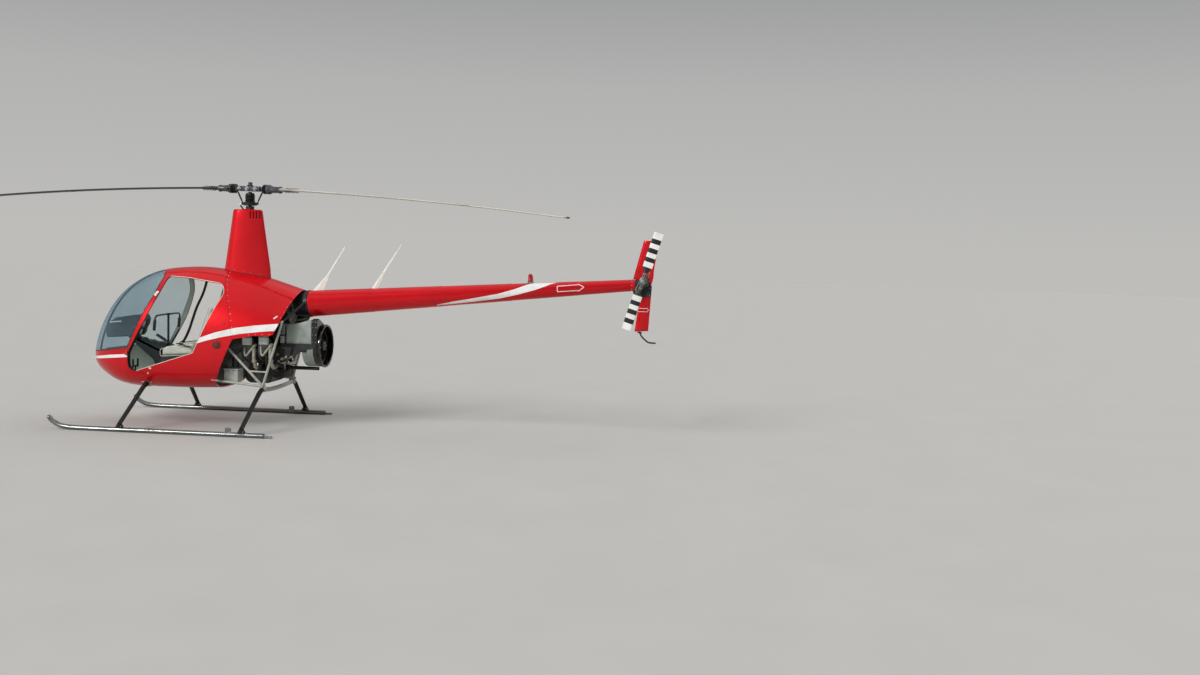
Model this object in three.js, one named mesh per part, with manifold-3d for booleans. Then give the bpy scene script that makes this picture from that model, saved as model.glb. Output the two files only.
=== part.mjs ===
// Two-seat piston helicopter with its cabin doors taken off, standing on its skids.
// Millimetres, +Z up. X runs aft like fuselage stations, Y to starboard.
// Inside this file X = 0 is the rotor mast and Z = 0 the ground; the last lines move
// the whole model so that its origin is the bottom centre of its box.

import * as THREE from 'three';
import { mergeVertices } from 'three/addons/utils/BufferGeometryUtils.js';
import Module from 'manifold-3d';

const wasm = await Module();
wasm.setup();

// Driving dimensions
const GAP = 0.3; // clearance left between pieces that touch
const WALL = 14; // cabin skin with its stiffeners
const ORIGIN_X = 441; // middle of the whole box, aft of the mast

const ROTOR = {
  radius: 3835, chord: 183, thickness: 22, hubZ: 2612, azimuth: -15, rootR: 420,
  teeter: 1.03, // degrees, forward blade up
  coning: -0.67, // degrees, each blade down on its droop stop
  droop: 10e-6, // sag in mm for each mm of radius squared
};
const TAIL_ROTOR = { x: 4394, y: -270, z: 1728, radius: 533, chord: 102, thickness: 12, lean: 17.3 };
const BOOM = { x0: 715, z0: 1368, r0: 146, x1: 4260, z1: 1676, r1: 62, wall: 6, shaftHole: 60 };
const SKID = { y: 950, radius: 25, frontX: -1595, rearX: 550 };
const LUG = { x: 153, length: 62, lowZ: 12, topZ: 90, proud: 8 };
const LEG = { frontX: -1047, frontTopX: -967, rearX: 309, rearTopX: 338, topY: 470, topZ: 461 };
const REAR_TUBE = { endZ: 445, midZ: 408, radius: 20 };
const FRAME_TUBE = 14; // radius of the steel tubes round the engine
const FAN = { x: 896, z: 904, radius: 205, ringRadius: 238, drumX: 700, drumRadius: 230 };
const DUCT = { frontX: 515, rearX: 852, y: -240, lowZ: 939, frontTopZ: 1150, rearTopZ: 1195, sheet: 10 };
const FIN = { y: 88, half: 14 }; // the fins' middle plane and half thickness
const SPAR = { x: 4330, y: 102, z: 1700, radius: 12 }; // carries the stabiliser
const BEACON_X = 3169;
const CRANK_Z = 904;
const ENGINE = { frontX: 130, rearX: 316 };
const MUFFLER = { x: 405, z: 592 };
const UPPER_SHEAVE_Z = 1290;
const FLOOR_Z = 500;
const SEAT = { frontX: -818, rearX: -418, topZ: 792, halfWidth: 215, midY: 262 };

// Fuselage stations: outline of the skin at each X, as two half superellipses that
// meet at the waist. up and low are their exponents.
const STATIONS = [
  // x, top, bottom, half width, waist height, up, low
  [-1750, 735, 690, 20, 706, 2.0, 2.0],
  [-1738, 835, 648, 105, 712, 2.0, 2.1],
  [-1705, 960, 605, 190, 724, 2.0, 2.2],
  [-1640, 1125, 550, 285, 750, 2.0, 2.3],
  [-1540, 1300, 488, 372, 787, 2.05, 2.5],
  [-1400, 1466, 433, 448, 830, 2.1, 2.9],
  [-1200, 1608, 405, 510, 880, 2.15, 3.4],
  [-1000, 1690, 402, 543, 915, 2.2, 3.6],
  [-750, 1731, 404, 558, 930, 2.2, 3.6],
  [-450, 1740, 410, 560, 935, 2.2, 3.6],
  [-250, 1722, 418, 558, 940, 2.15, 3.6],
  [0, 1684, 430, 548, 945, 2.05, 3.6],
  [250, 1632, 445, 525, 950, 1.95, 3.6],
  [450, 1573, 455, 500, 950, 1.87, 3.6],
  [640, 1515, 460, 470, 950, 1.85, 3.6],
].map(([x, top, bottom, half, waist, up, low]) => ({ x, top, bottom, half, waist, up, low }));

// Side view outlines, cut right through the skin. Each row is a corner: x, z, radius.
const DOOR_OPENING = [
  [-1163, 571, 280], [-1165, 790, 120], [-966, 1160, 900], [-838, 1455, 400], [-792, 1637, 40],
  [-560, 1627, 300], [-73, 1561, 110], [-404, 823, 25],
];
const WINDSCREEN = [
  [-1171, 848, 20], [-1022, 1165, 900], [-888, 1440, 400], [-846, 1640, 60], [-960, 1722, 60],
  [-1010, 1900, 0], [-2000, 1900, 0], [-2000, 738, 0],
];
const SEAM = { topX: -205, topZ: 1760, lowX: -30, lowZ: 1290, footX: 30, footZ: 985 };
const COWL_REAR = { topX: 640, topZ: 1530, lowX: 455, lowZ: 1030 };
const CABIN_REAR = { topX: 30, topZ: 985, lowX: -235, lowZ: 380 };

// Fin outlines in side view and the stabiliser's from above, its second column outboard
const UPPER_FIN = [[4262, 1745], [4368, 2158], [4548, 2158], [4490, 1850], [4484, 1755], [4460, 1682]];
const LOWER_FIN = [[4345, 1600], [4292, 1176], [4441, 1186], [4461, 1559], [4464, 1600]];
const STABILISER = [[4190, 0], [4215, 740], [4420, 740], [4430, 0]];
const ANTENNAS = [
  // name, foot from and to along X, neck of the blade, tip of the whip
  ['front', 736, 860, 905, 1695, 1088, 2001],
  ['rear', 1400, 1472, 1535, 1745, 1729, 2051],
].map(([name, footA, footB, neckX, neckZ, tipX, tipZ]) => (
  { name, footA, footB, neckX, neckZ, tipX, tipZ }));

// Console pedestal in side view: it slants back over open floor and stands in front of the seats
const PEDESTAL = [
  [-1090, 690, 0], [-1400, 940, 0], [-1330, 975, 0], [-1290, 925, 30], [-1155, 890, 30],
  [-987, 862, 30], [-925, 832, 20], [-880, 742, 20], [-822, 738, 0],
];
const STICK = { x: -945, footZ: 830, barZ: 1196, gripY: 300 }; // cyclic post with its T bar

const COLOURS = {
  red: [0xb5121b, 0.3, 0.3], white: [0xf2f2ee, 0.4, 0.0], glass: [0x7f97a0, 0.1, 0.0],
  steel: [0x8f9492, 0.5, 0.4], dark: [0x1c1e20, 0.6, 0.1], leg: [0x23302c, 0.5, 0.2],
  blade: [0x3c3f40, 0.5, 0.2], alloy: [0xb4b8b8, 0.35, 0.8], cushion: [0xc9c6b4, 0.8, 0.0],
  sheet: [0x9ea6a6, 0.5, 0.5], boot: [0x101112, 0.8, 0.0], lens: [0x8c1512, 0.2, 0.0],
  greenLens: [0x0f7a3c, 0.2, 0.0], skid: [0x8d9190, 0.5, 0.5], floor: [0x2b2c2c, 0.9, 0.0],
};

const model = new THREE.Group();

// Finish a node: one named mesh in one colour.
function node(name, body, colour, parent = model) {
  const geometry = body.isBufferGeometry ? body : toGeometry(body);
  const [hex, roughness, metalness] = COLOURS[colour];
  const material = new THREE.MeshStandardMaterial({ color: hex, roughness, metalness });
  const mesh = new THREE.Mesh(geometry, material);
  mesh.name = name;
  parent.add(mesh);
  return mesh;
}

// A three.js geometry as a manifold-3d solid, and back
function toSolid(geometry) {
  const bare = geometry.clone();
  bare.deleteAttribute('normal');
  bare.deleteAttribute('uv');
  const merged = mergeVertices(bare, 1e-3);
  return new wasm.Manifold(new wasm.Mesh({
    numProp: 3,
    vertProperties: Float32Array.from(merged.attributes.position.array),
    triVerts: Uint32Array.from(merged.index.array),
  }));
}

function toGeometry(solid) {
  const mesh = solid.getMesh();
  const geometry = new THREE.BufferGeometry();
  geometry.setAttribute('position', new THREE.BufferAttribute(new Float32Array(mesh.vertProperties), 3));
  geometry.setIndex(new THREE.BufferAttribute(new Uint32Array(mesh.triVerts), 1));
  geometry.computeVertexNormals();
  return geometry;
}

function join(...geometries) {
  const solids = geometries.map((g) => (g.isBufferGeometry ? toSolid(g) : g));
  return solids.reduce((sum, solid) => sum.add(solid));
}

function cut(body, ...tools) {
  const start = body.isBufferGeometry ? toSolid(body) : body;
  return tools.reduce((rest, t) => rest.subtract(t.isBufferGeometry ? toSolid(t) : t), start);
}

function common(a, b) {
  const first = a.isBufferGeometry ? toSolid(a) : a;
  return first.intersect(b.isBufferGeometry ? toSolid(b) : b);
}

const vec = (x, y, z) => new THREE.Vector3(x, y, z);

// Box from its two corners
function box(x0, x1, y0, y1, z0, z1) {
  const geometry = new THREE.BoxGeometry(x1 - x0, y1 - y0, z1 - z0);
  return geometry.translate((x0 + x1) / 2, (y0 + y1) / 2, (z0 + z1) / 2);
}

// Round bar between two points, with a second radius for a taper
function rod(from, to, radius, sides = 12, endRadius = radius) {
  const axis = to.clone().sub(from);
  const geometry = new THREE.CylinderGeometry(endRadius, radius, axis.length(), sides);
  const turn = new THREE.Quaternion().setFromUnitVectors(vec(0, 1, 0), axis.clone().normalize());
  const middle = from.clone().add(to).multiplyScalar(0.5);
  return geometry.applyMatrix4(new THREE.Matrix4().compose(middle, turn, vec(1, 1, 1)));
}

// Ball that fills the corner where bars meet
function ball(at, radius, sides = 8) {
  return new THREE.SphereGeometry(radius, sides, sides / 2).translate(at.x, at.y, at.z);
}

// Bar with mitred bends: each ring is the last one slid along the bar to the next mitre plane
function bars(points, radius, sides = 8) {
  const heading = (i) => points[i + 1].clone().sub(points[i]).normalize();
  const first = heading(0);
  const turn = new THREE.Quaternion().setFromUnitVectors(vec(0, 0, 1), first);
  const rings = [[]];
  for (let k = 0; k < sides; k += 1) {
    const angle = (2 * Math.PI * k) / sides;
    const spoke = vec(radius * Math.cos(angle), radius * Math.sin(angle), 0);
    rings[0].push(spoke.applyQuaternion(turn).add(points[0]));
  }
  for (let i = 1; i < points.length; i += 1) {
    const along1 = heading(i - 1);
    const plane = i + 1 < points.length ? along1.clone().add(heading(i)).normalize() : along1;
    rings.push(rings[i - 1].map((q) => {
      const reach = points[i].clone().sub(q).dot(plane) / along1.dot(plane);
      return q.clone().addScaledVector(along1, reach);
    }));
  }
  return loft(rings);
}

// Smooth bent tube along a curve
function bentTube(points, radius, steps, sides = 12) {
  const section = new THREE.Shape();
  for (let i = 0; i < sides; i += 1) {
    const angle = (2 * Math.PI * i) / sides;
    const corner = [radius * Math.cos(angle), radius * Math.sin(angle)];
    if (i === 0) section.moveTo(...corner);
    else section.lineTo(...corner);
  }
  section.closePath();
  const path = new THREE.CatmullRomCurve3(points, false, 'centripetal');
  return new THREE.ExtrudeGeometry(section, { steps, bevelEnabled: false, extrudePath: path });
}

// Closed body through rings of points that all have the same count, capped by fans
function loft(rings) {
  const count = rings[0].length;
  const position = [];
  rings.forEach((ring) => ring.forEach((p) => position.push(p.x, p.y, p.z)));
  const index = [];
  for (let r = 0; r + 1 < rings.length; r += 1) {
    for (let i = 0; i < count; i += 1) {
      const a = r * count + i;
      const b = r * count + ((i + 1) % count);
      index.push(a, b, b + count, a, b + count, a + count);
    }
  }
  [0, rings.length - 1].forEach((r, end) => {
    const centre = rings[r].reduce((sum, p) => sum.add(p), vec(0, 0, 0)).divideScalar(count);
    const middle = position.length / 3;
    position.push(centre.x, centre.y, centre.z);
    for (let i = 0; i < count; i += 1) {
      const a = r * count + i;
      const b = r * count + ((i + 1) % count);
      index.push(...(end === 0 ? [middle, b, a] : [middle, a, b]));
    }
  });
  const geometry = new THREE.BufferGeometry();
  geometry.setAttribute('position', new THREE.Float32BufferAttribute(position, 3));
  geometry.setIndex(index);
  return facingOut(geometry);
}

// Turn the faces of a closed body outwards
function facingOut(geometry) {
  const p = geometry.attributes.position;
  const index = geometry.index.array;
  const corner = (i) => new THREE.Vector3().fromBufferAttribute(p, index[i]);
  let volume = 0;
  for (let i = 0; i < index.length; i += 3) {
    volume += corner(i).dot(corner(i + 1).cross(corner(i + 2)));
  }
  if (volume < 0) {
    for (let i = 0; i < index.length; i += 3) {
      [index[i + 1], index[i + 2]] = [index[i + 2], index[i + 1]];
    }
  }
  return geometry;
}

// Side view shape with rounded corners, extruded across the fuselage from y0 to y1
function sidePlate(corners, y0, y1) {
  const shape = roundedShape(corners);
  const depth = y1 - y0;
  const geometry = new THREE.ExtrudeGeometry(shape, { depth, bevelEnabled: false, curveSegments: 5 });
  geometry.rotateX(Math.PI / 2);
  geometry.translate(0, y1, 0);
  return geometry;
}

function roundedShape(corners) {
  const shape = new THREE.Shape();
  const at = corners.map(([x, z]) => new THREE.Vector2(x, z));
  corners.forEach(([, , radius = 0], i) => {
    const here = at[i];
    const before = at[(i + at.length - 1) % at.length].clone().sub(here);
    const after = at[(i + 1) % at.length].clone().sub(here);
    const half = Math.abs(before.angleTo(after)) / 2;
    const room = 0.48 * Math.min(before.length(), after.length());
    const reach = radius > 0 ? Math.min(radius / Math.tan(half), room) : 0;
    const start = here.clone().add(before.setLength(reach || 1e-9));
    const end = here.clone().add(after.setLength(reach || 1e-9));
    if (i === 0) shape.moveTo(start.x, start.y);
    else shape.lineTo(start.x, start.y);
    if (reach > 0) shape.quadraticCurveTo(here.x, here.y, end.x, end.y);
  });
  shape.closePath();
  return shape;
}

// Steady curve through one column of a table, without overshoot
function along(table, column, x) {
  const last = table.length - 1;
  if (x <= table[0].x) return table[0][column];
  if (x >= table[last].x) return table[last][column];
  const i = table.findIndex((row) => row.x > x) - 1;
  const slope = (k) => (table[k + 1][column] - table[k][column]) / (table[k + 1].x - table[k].x);
  const tangent = (k) => {
    if (k === 0) return slope(0);
    if (k === last) return slope(last - 1);
    const [a, b] = [slope(k - 1), slope(k)];
    return a * b <= 0 ? 0 : (2 * a * b) / (a + b);
  };
  const width = table[i + 1].x - table[i].x;
  const t = (x - table[i].x) / width;
  return (2 * t ** 3 - 3 * t ** 2 + 1) * table[i][column]
    + (t ** 3 - 2 * t ** 2 + t) * width * tangent(i)
    + (3 * t ** 2 - 2 * t ** 3) * table[i + 1][column]
    + (t ** 3 - t ** 2) * width * tangent(i + 1);
}

const RING_POINTS = 32;

// Ring of the fuselage skin at station x, moved in by inset
function skinRing(x, inset) {
  const value = (column) => along(STATIONS, column, x - inset);
  const waist = value('waist');
  const half = Math.max(value('half') - inset, 4);
  const top = Math.max(value('top') - inset - waist, 4);
  const bottom = Math.max(waist - value('bottom') - inset, 4);
  const ring = [];
  for (let i = 0; i < RING_POINTS; i += 1) {
    const angle = (2 * Math.PI * (i + 0.5)) / RING_POINTS;
    const [c, s] = [Math.cos(angle), Math.sin(angle)];
    const power = 2 / value(s > 0 ? 'up' : 'low');
    const y = half * Math.sign(c) * Math.abs(c) ** power;
    const z = (s > 0 ? top : bottom) * Math.sign(s) * Math.abs(s) ** power;
    ring.push(vec(x, y, waist + z));
  }
  return ring;
}

const SKIN_X = [
  -1750, -1745, -1735, -1718, -1690, -1650, -1600, -1530, -1450, -1350, -1230, -1100, -950,
  -780, -600, -400, -200, 0, 160, 320, 480, 640,
];

function skinBody(inset) {
  const front = STATIONS[0].x + inset;
  const stations = inset > 0 ? [front, ...SKIN_X.filter((x) => x > front + 4)] : SKIN_X;
  return loft(stations.map((x) => skinRing(x, inset)));
}

// Cutting bodies for the panels of the skin. Each lies between two X lines of a side view.
const FAR = 3000;
const sideBlock = (corners) => sidePlate(corners, -900, 900);

function buildFuselage() {
  const outer = toSolid(skinBody(0));
  const inner = cut(skinBody(WALL), box(640 - WALL, FAR, -900, 900, 0, FAR));
  const openRear = box(600, 700, -440, 440, 470, 1480);
  const shell = outer.subtract(inner).subtract(toSolid(openRear));
  const [seam, rear, slant] = [SEAM, COWL_REAR, CABIN_REAR];
  const aheadOfSeam = (gap) => sideBlock([
    [-FAR, FAR, 0], [-FAR, 0, 0], [slant.lowX - gap, 0, 0], [slant.lowX - gap, slant.lowZ, 0],
    [seam.footX - gap, seam.footZ, 0], [seam.lowX - gap, seam.lowZ, 0],
    [seam.topX - gap, seam.topZ, 0], [seam.topX - gap, FAR, 0],
  ]);
  const behindSeam = (gap) => sideBlock([
    [seam.topX + gap, FAR, 0], [seam.topX + gap, seam.topZ, 0], [seam.lowX + gap, seam.lowZ, 0],
    [seam.footX + gap, seam.footZ, 0], [250, 1030, 400], [rear.lowX, rear.lowZ, 0],
    [525, 1195, 0], [rear.topX, rear.topZ, 0], [rear.topX, FAR, 0],
  ]);
  const opening = sideBlock(DOOR_OPENING);
  const screenHole = sideBlock(WINDSCREEN);
  const noseCut = (gap) => box(-FAR, -1180 + gap, -900, 900, 0, 1400);

  const cabin = common(shell, aheadOfSeam(GAP)).subtract(toSolid(opening));
  const body = cabin.subtract(toSolid(screenHole));
  const legHoles = [-1, 1].map((side) => rod(
    vec(LEG.frontTopX, side * 150, LEG.topZ), vec(LEG.frontTopX, side * 700, LEG.topZ), 30.5,
  ));
  node('nose_shell', common(body, noseCut(-GAP)), 'red');
  node('cabin_shell', cut(body, noseCut(GAP), ...legHoles), 'red');

  const mastHole = rod(vec(0, 0, 1500), vec(0, 0, 1900), 90, 24);
  node('engine_cowl', cut(common(shell, behindSeam(GAP)), mastHole), 'red');

  // Each half of the windscreen is a thin bubble sheet that ends beside the centre strip
  const glassInner = skinBody(5);
  const glass = common(cut(outer, glassInner), insetOutline(WINDSCREEN, 1));
  const strip = 14;
  const wide = common(outer, box(-FAR, FAR, -strip, strip, 0, FAR)).subtract(toSolid(skinBody(8)));
  node('windscreen_left', cut(glass, box(-FAR, FAR, -strip - GAP, FAR, 0, FAR)), 'glass');
  node('windscreen_right', cut(glass, box(-FAR, FAR, -FAR, strip + GAP, 0, FAR)), 'glass');
  node('windscreen_centre_strip', common(wide, insetOutline(WINDSCREEN, 1)), 'steel');
}

// The windscreen outline drawn in a little at its lower, rear and upper edges
function insetOutline(corners, gap) {
  return sideBlock(corners.map(([x, z, radius]) => [x - 1.4 * gap, z + 0.4 * gap, radius]));
}

// A side view outline moved up
const raised = (corners, rise) => corners.map(([x, z, radius]) => [x, z + rise, radius]);

// Rear face of the firewall at height z, a little inside the slanted edge of the skin
function firewallX(z) {
  const { topX, topZ, lowX, lowZ } = CABIN_REAR;
  return lowX + ((topX - lowX) / (topZ - lowZ)) * (z - lowZ) - 24;
}

function buildCabinInside() {
  const inside = toSolid(skinBody(WALL + GAP));
  const floorBox = box(-1640, firewallX(FLOOR_Z) - 12 - GAP, -FAR, FAR, FLOOR_Z, FLOOR_Z + 12);
  node('cabin_floor', common(floorBox, inside), 'floor');

  // Firewall behind the seats, then nearly level above the engine
  const low = FLOOR_Z - 60;
  const wall = sidePlate([
    [firewallX(low), low, 0], [firewallX(1000), 1000, 0], [440, 1040, 0], [440, 1052, 0],
    [firewallX(1012) - 12, 1012, 0], [firewallX(low) - 12, low, 0],
  ], -900, 900);
  node('firewall', common(common(wall, inside), box(-FAR, FAR, -470, 470, 0, FAR)), 'dark');
  const bulkhead = sidePlate([
    [SEAT.rearX + 60, SEAT.topZ, 0], [-150, 1420, 0], [-150, 1640, 0], [-162, 1640, 0],
    [-162, 1422, 0], [SEAT.rearX + 48, SEAT.topZ, 0],
  ], -900, 900);
  node('seat_bulkhead', common(bulkhead, inside), 'dark');

  const bases = [box(SEAT.frontX + 60, SEAT.rearX + 40, -90, 90, FLOOR_Z + 12 + GAP, 640)];
  [['left', -1], ['right', 1]].forEach(([side, s]) => {
    const y0 = Math.min(s * (SEAT.midY - SEAT.halfWidth), s * (SEAT.midY + SEAT.halfWidth));
    const y1 = y0 + 2 * SEAT.halfWidth;
    const base = sidePlate([
      [SEAT.frontX + 20, FLOOR_Z + 12 + GAP, 0], [SEAT.frontX, SEAT.topZ - 30, 0],
      [SEAT.rearX + 40, SEAT.topZ, 0], [SEAT.rearX + 40, FLOOR_Z + 12 + GAP, 0],
    ], y0, y1);
    bases.push(common(base, inside));
    const cushion = sidePlate([
      [SEAT.frontX, SEAT.topZ - 30 + GAP, 10], [SEAT.frontX - 8, SEAT.topZ + 68, 30],
      [SEAT.rearX - 10, SEAT.topZ + 128, 30], [SEAT.rearX - 10, SEAT.topZ - 3 + GAP, 10],
    ], y0 + 5, y1 - 5);
    node(`seat_cushion_${side}`, cushion, 'cushion');
    const back = sidePlate([
      [SEAT.rearX + 15, SEAT.topZ + 6, 10], [SEAT.rearX + 2, SEAT.topZ + 128, 20],
      [-262, 1330, 40], [-205, 1345, 30], [-215, 1300, 10], [SEAT.rearX + 57, SEAT.topZ + 30, 10],
    ], y0 + 5, y1 - 5);
    node(`seat_back_${side}`, back, 'cushion');
  });
  node('seat_base', join(...bases), 'dark');

  const hood = sidePlate([
    [-1640, 930, 20], [-1655, 1075, 40], [-1480, 1165, 60], [-1240, 1190, 40], [-1215, 1130, 20],
    [-1290, 945, 20],
  ], -150, 150);
  const pedestal = sidePlate([
    ...PEDESTAL, [SEAT.frontX - 4, FLOOR_Z + 12 + GAP, 0], [-1010, FLOOR_Z + 12 + GAP, 0],
  ], -75, 75);
  node('instrument_console', common(join(hood, pedestal), skinBody(20)), 'dark');

  const { x, footZ, barZ, gripY } = STICK;
  const grips = [-1, 1].map((s) => bars([
    vec(x, -s * 10, barZ), vec(x, s * (gripY - 50), barZ), vec(x - 10, s * gripY, barZ - 40),
    vec(x - 20, s * gripY, barZ - 160),
  ], 13));
  const post = rod(vec(x, 0, footZ), vec(x, 0, barZ), 15, 8);
  node('cyclic_stick', cut(join(post, ...grips), sidePlate(raised(PEDESTAL, GAP), -80, 80)), 'boot');

  [['left', -1], ['right', 1]].forEach(([side, s]) => {
    const [x, midY, barZ] = [-1440, s * 210, FLOOR_Z + 80];
    const plates = [-75, 35].map((y) => (
      box(x - 5, x + 5, midY + y, midY + y + 40, barZ - 20, barZ + 80)
    ));
    const bar = rod(vec(x, midY - 70, barZ), vec(x, midY + 70, barZ), 8, 8);
    const stand = rod(vec(x, midY, FLOOR_Z + 12 + GAP), vec(x, midY, barZ), 10, 8);
    node(`pedals_${side}`, join(bar, stand, ...plates), 'dark');
  });
  node('collective_lever', bars([
    vec(-600, -34, 640 + GAP), vec(-600, -34, 700), vec(-1060, -38, 965),
  ], 10), 'boot');
}

function buildMast() {
  node('main_gearbox', box(-150, 150, -130, 130, 1200, 1480), 'alloy');
  const tube = cut(
    rod(vec(0, 0, 1480 + GAP), vec(0, 0, 2420), 45, 20), rod(vec(0, 0, 1500), vec(0, 0, 2500), 30, 20),
  );
  node('mast_tube', tube, 'steel');

  // Teardrop fairing: each ring is x front, x rear and half width at one height
  const rings = [
    // height, front, rear, half width
    [1600, -287, 250, 108], [1740, -278, 240, 104], [2180, -215, 172, 84], [2360, -190, 146, 76],
    [2387, -180, 136, 68],
  ].map(([z, front, rear, half]) => ({ x: z, front, rear, half }));
  const ringAt = (row, inset) => {
    const points = [];
    const count = 24;
    for (let i = 0; i < count; i += 1) {
      const angle = (2 * Math.PI * i) / count;
      const nose = row.front + inset + (row.half - inset) * 1.2;
      const across = (row.half - inset) * Math.sin(angle);
      const reach = Math.cos(angle) < 0 ? nose - row.front - inset : row.rear - inset - nose;
      const taper = Math.cos(angle) > 0 ? 1 - 0.25 * Math.cos(angle) ** 2 : 1;
      points.push(vec(nose + reach * Math.cos(angle), across * taper, row.x));
    }
    return points;
  };
  const outside = loft(rings.map((row) => ringAt(row, 0)));
  const hollow = loft([
    ringAt({ ...rings[0], x: 1590 }, 6), ringAt(rings[1], 6), ringAt(rings[2], 6),
    ringAt({ ...rings[3], x: 2380 }, 6),
  ]);
  const topHole = rod(vec(0, 0, 2300), vec(0, 0, 2500), 56, 20);
  const slots = [0, 1, 2, 3].map((i) => box(22 + 32 * i, 34 + 32 * i, -200, 200, 2290, 2366));
  const roof = toSolid(skinBody(-GAP));
  const below = box(-400, 400, -200, 200, 1400, 1570);
  node('mast_fairing', cut(outside, hollow, topHole, roof, below, ...slots), 'red');
}

function buildEngine() {
  // Flat four engine: crankcase with finned cylinders out to each side
  const crankcase = box(50, 395, -115, 115, 800, 985);
  const sump = box(60, 360, -90, 90, 690, 801);
  node('engine_crankcase', join(crankcase, sump), 'alloy');
  const exhaust = [];
  [['left', -1], ['right', 1]].forEach(([side, s]) => {
    const pieces = [];
    [[ENGINE.frontX, 920], [ENGINE.rearX, 930]].forEach(([x, z]) => {
      pieces.push(rod(vec(x, s * (115 + GAP), z - 30), vec(x, s * 330, z - 30), 52, 10));
      for (let i = 0; i < 4; i += 1) {
        const y = 146 + i * 44;
        pieces.push(rod(vec(x, s * y, z - 30), vec(x, s * (y + 16), z - 30), 74, 10));
      }
      const [near, far] = [Math.min(s * 325, s * 400), Math.max(s * 325, s * 400)];
      pieces.push(box(x - 62, x + 62, near, far, z - 85, z + 40));
    });
    pieces.push(box(ENGINE.frontX, ENGINE.rearX, Math.min(s * 340, s * 370), Math.max(s * 340, s * 370), 860, 890));
    node(`cylinders_${side}`, join(...pieces), 'alloy');
    [ENGINE.frontX, ENGINE.rearX].forEach((x) => {
      exhaust.push(bentTube([
        vec(x + 30, s * 362, 834 - GAP), vec(x + 30, s * 362, 760), vec(x + 40, s * 330, 660),
        vec(MUFFLER.x - 10, s * 200, MUFFLER.z + 10), vec(MUFFLER.x, s * 120, MUFFLER.z),
      ], 19, 9, 8));
    });
  });
  const can = rod(vec(MUFFLER.x, -175, MUFFLER.z), vec(MUFFLER.x, 175, MUFFLER.z), 60, 20);
  const tailPipe = rod(vec(MUFFLER.x, 0, 630), vec(806, 0, 630), 17, 10);
  node('exhaust', join(can, tailPipe, ...exhaust), 'dark');
  node('fuel_filter_box', box(-134, 30, -380, -220, 505, 655), 'sheet');

  // Upper sheave on the drive shaft, lower sheave on the crankshaft, belts between
  [['lower', CRANK_Z, 395, 90, 30], ['upper', UPPER_SHEAVE_Z, 150, 155, 24]].forEach(
    ([name, z, shaftX, wheel, shaft]) => {
      const wheelBody = rod(vec(425, 0, z), vec(500, 0, z), wheel, 28);
      const shaftBody = rod(vec(shaftX + GAP, 0, z), vec(430, 0, z), shaft, 12);
      node(`sheave_${name}`, join(wheelBody, shaftBody), 'alloy');
    },
  );
}

// Sheet metal scroll that leads the cooling fan's air forward over the engine, with the
// inlet ring at its rear
function buildCooling() {
  const { x, z, ringRadius, drumX, drumRadius } = FAN;
  const { frontX, rearX, y, lowZ, frontTopZ, rearTopZ, sheet } = DUCT;
  const inner = y / 12;
  const duct = (inset) => sidePlate([
    [frontX - inset, lowZ + inset, 0], [rearX - inset, lowZ + inset, 0],
    [rearX - inset, rearTopZ - inset, 0], [frontX - inset, frontTopZ - inset, 0],
  ], y + inset, inner - inset);
  const shell = join(
    rod(vec(drumX, 0, z), vec(x - 36, 0, z), drumRadius, 32), duct(0),
  );
  const hollow = join(
    rod(vec(drumX - sheet, 0, z), vec(x, 0, z), drumRadius - sheet, 32), duct(sheet),
  );
  node('cooling_scroll', cut(shell, hollow), 'sheet');
  const lip = [
    // radius, height above the scroll
    [212, 0], [ringRadius - 8, 0], [ringRadius, 14], [ringRadius, 26], [ringRadius - 10, 36],
    [212, 32], [212, 0],
  ];
  const ring = new THREE.LatheGeometry(lip.map(([r, h]) => new THREE.Vector2(r, h)), 36);
  ring.rotateZ(-Math.PI / 2);
  ring.translate(x - 36 + GAP, 0, z);
  node('fan_inlet_ring', facingOut(mergeBare(ring)), 'dark');
}

function mergeBare(geometry) {
  geometry.deleteAttribute('normal');
  geometry.deleteAttribute('uv');
  return mergeVertices(geometry, 1e-3);
}

function buildFan() {
  const { x, z, radius } = FAN;
  const pieces = [
    rod(vec(x - 110, 0, z), vec(x - 24, 0, z), 60, 20),
    rod(vec(x - 118, 0, z), vec(x - 110, 0, z), radius, 32),
  ];
  const vanes = 16;
  for (let i = 0; i < vanes; i += 1) {
    const vane = box(x - 111, x - 60, -3, 3, 50, radius - 6);
    vane.rotateX((2 * Math.PI * i) / vanes);
    vane.translate(0, 0, z);
    pieces.push(vane);
  }
  node('fan_wheel', join(...pieces), 'alloy');
}

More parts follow.
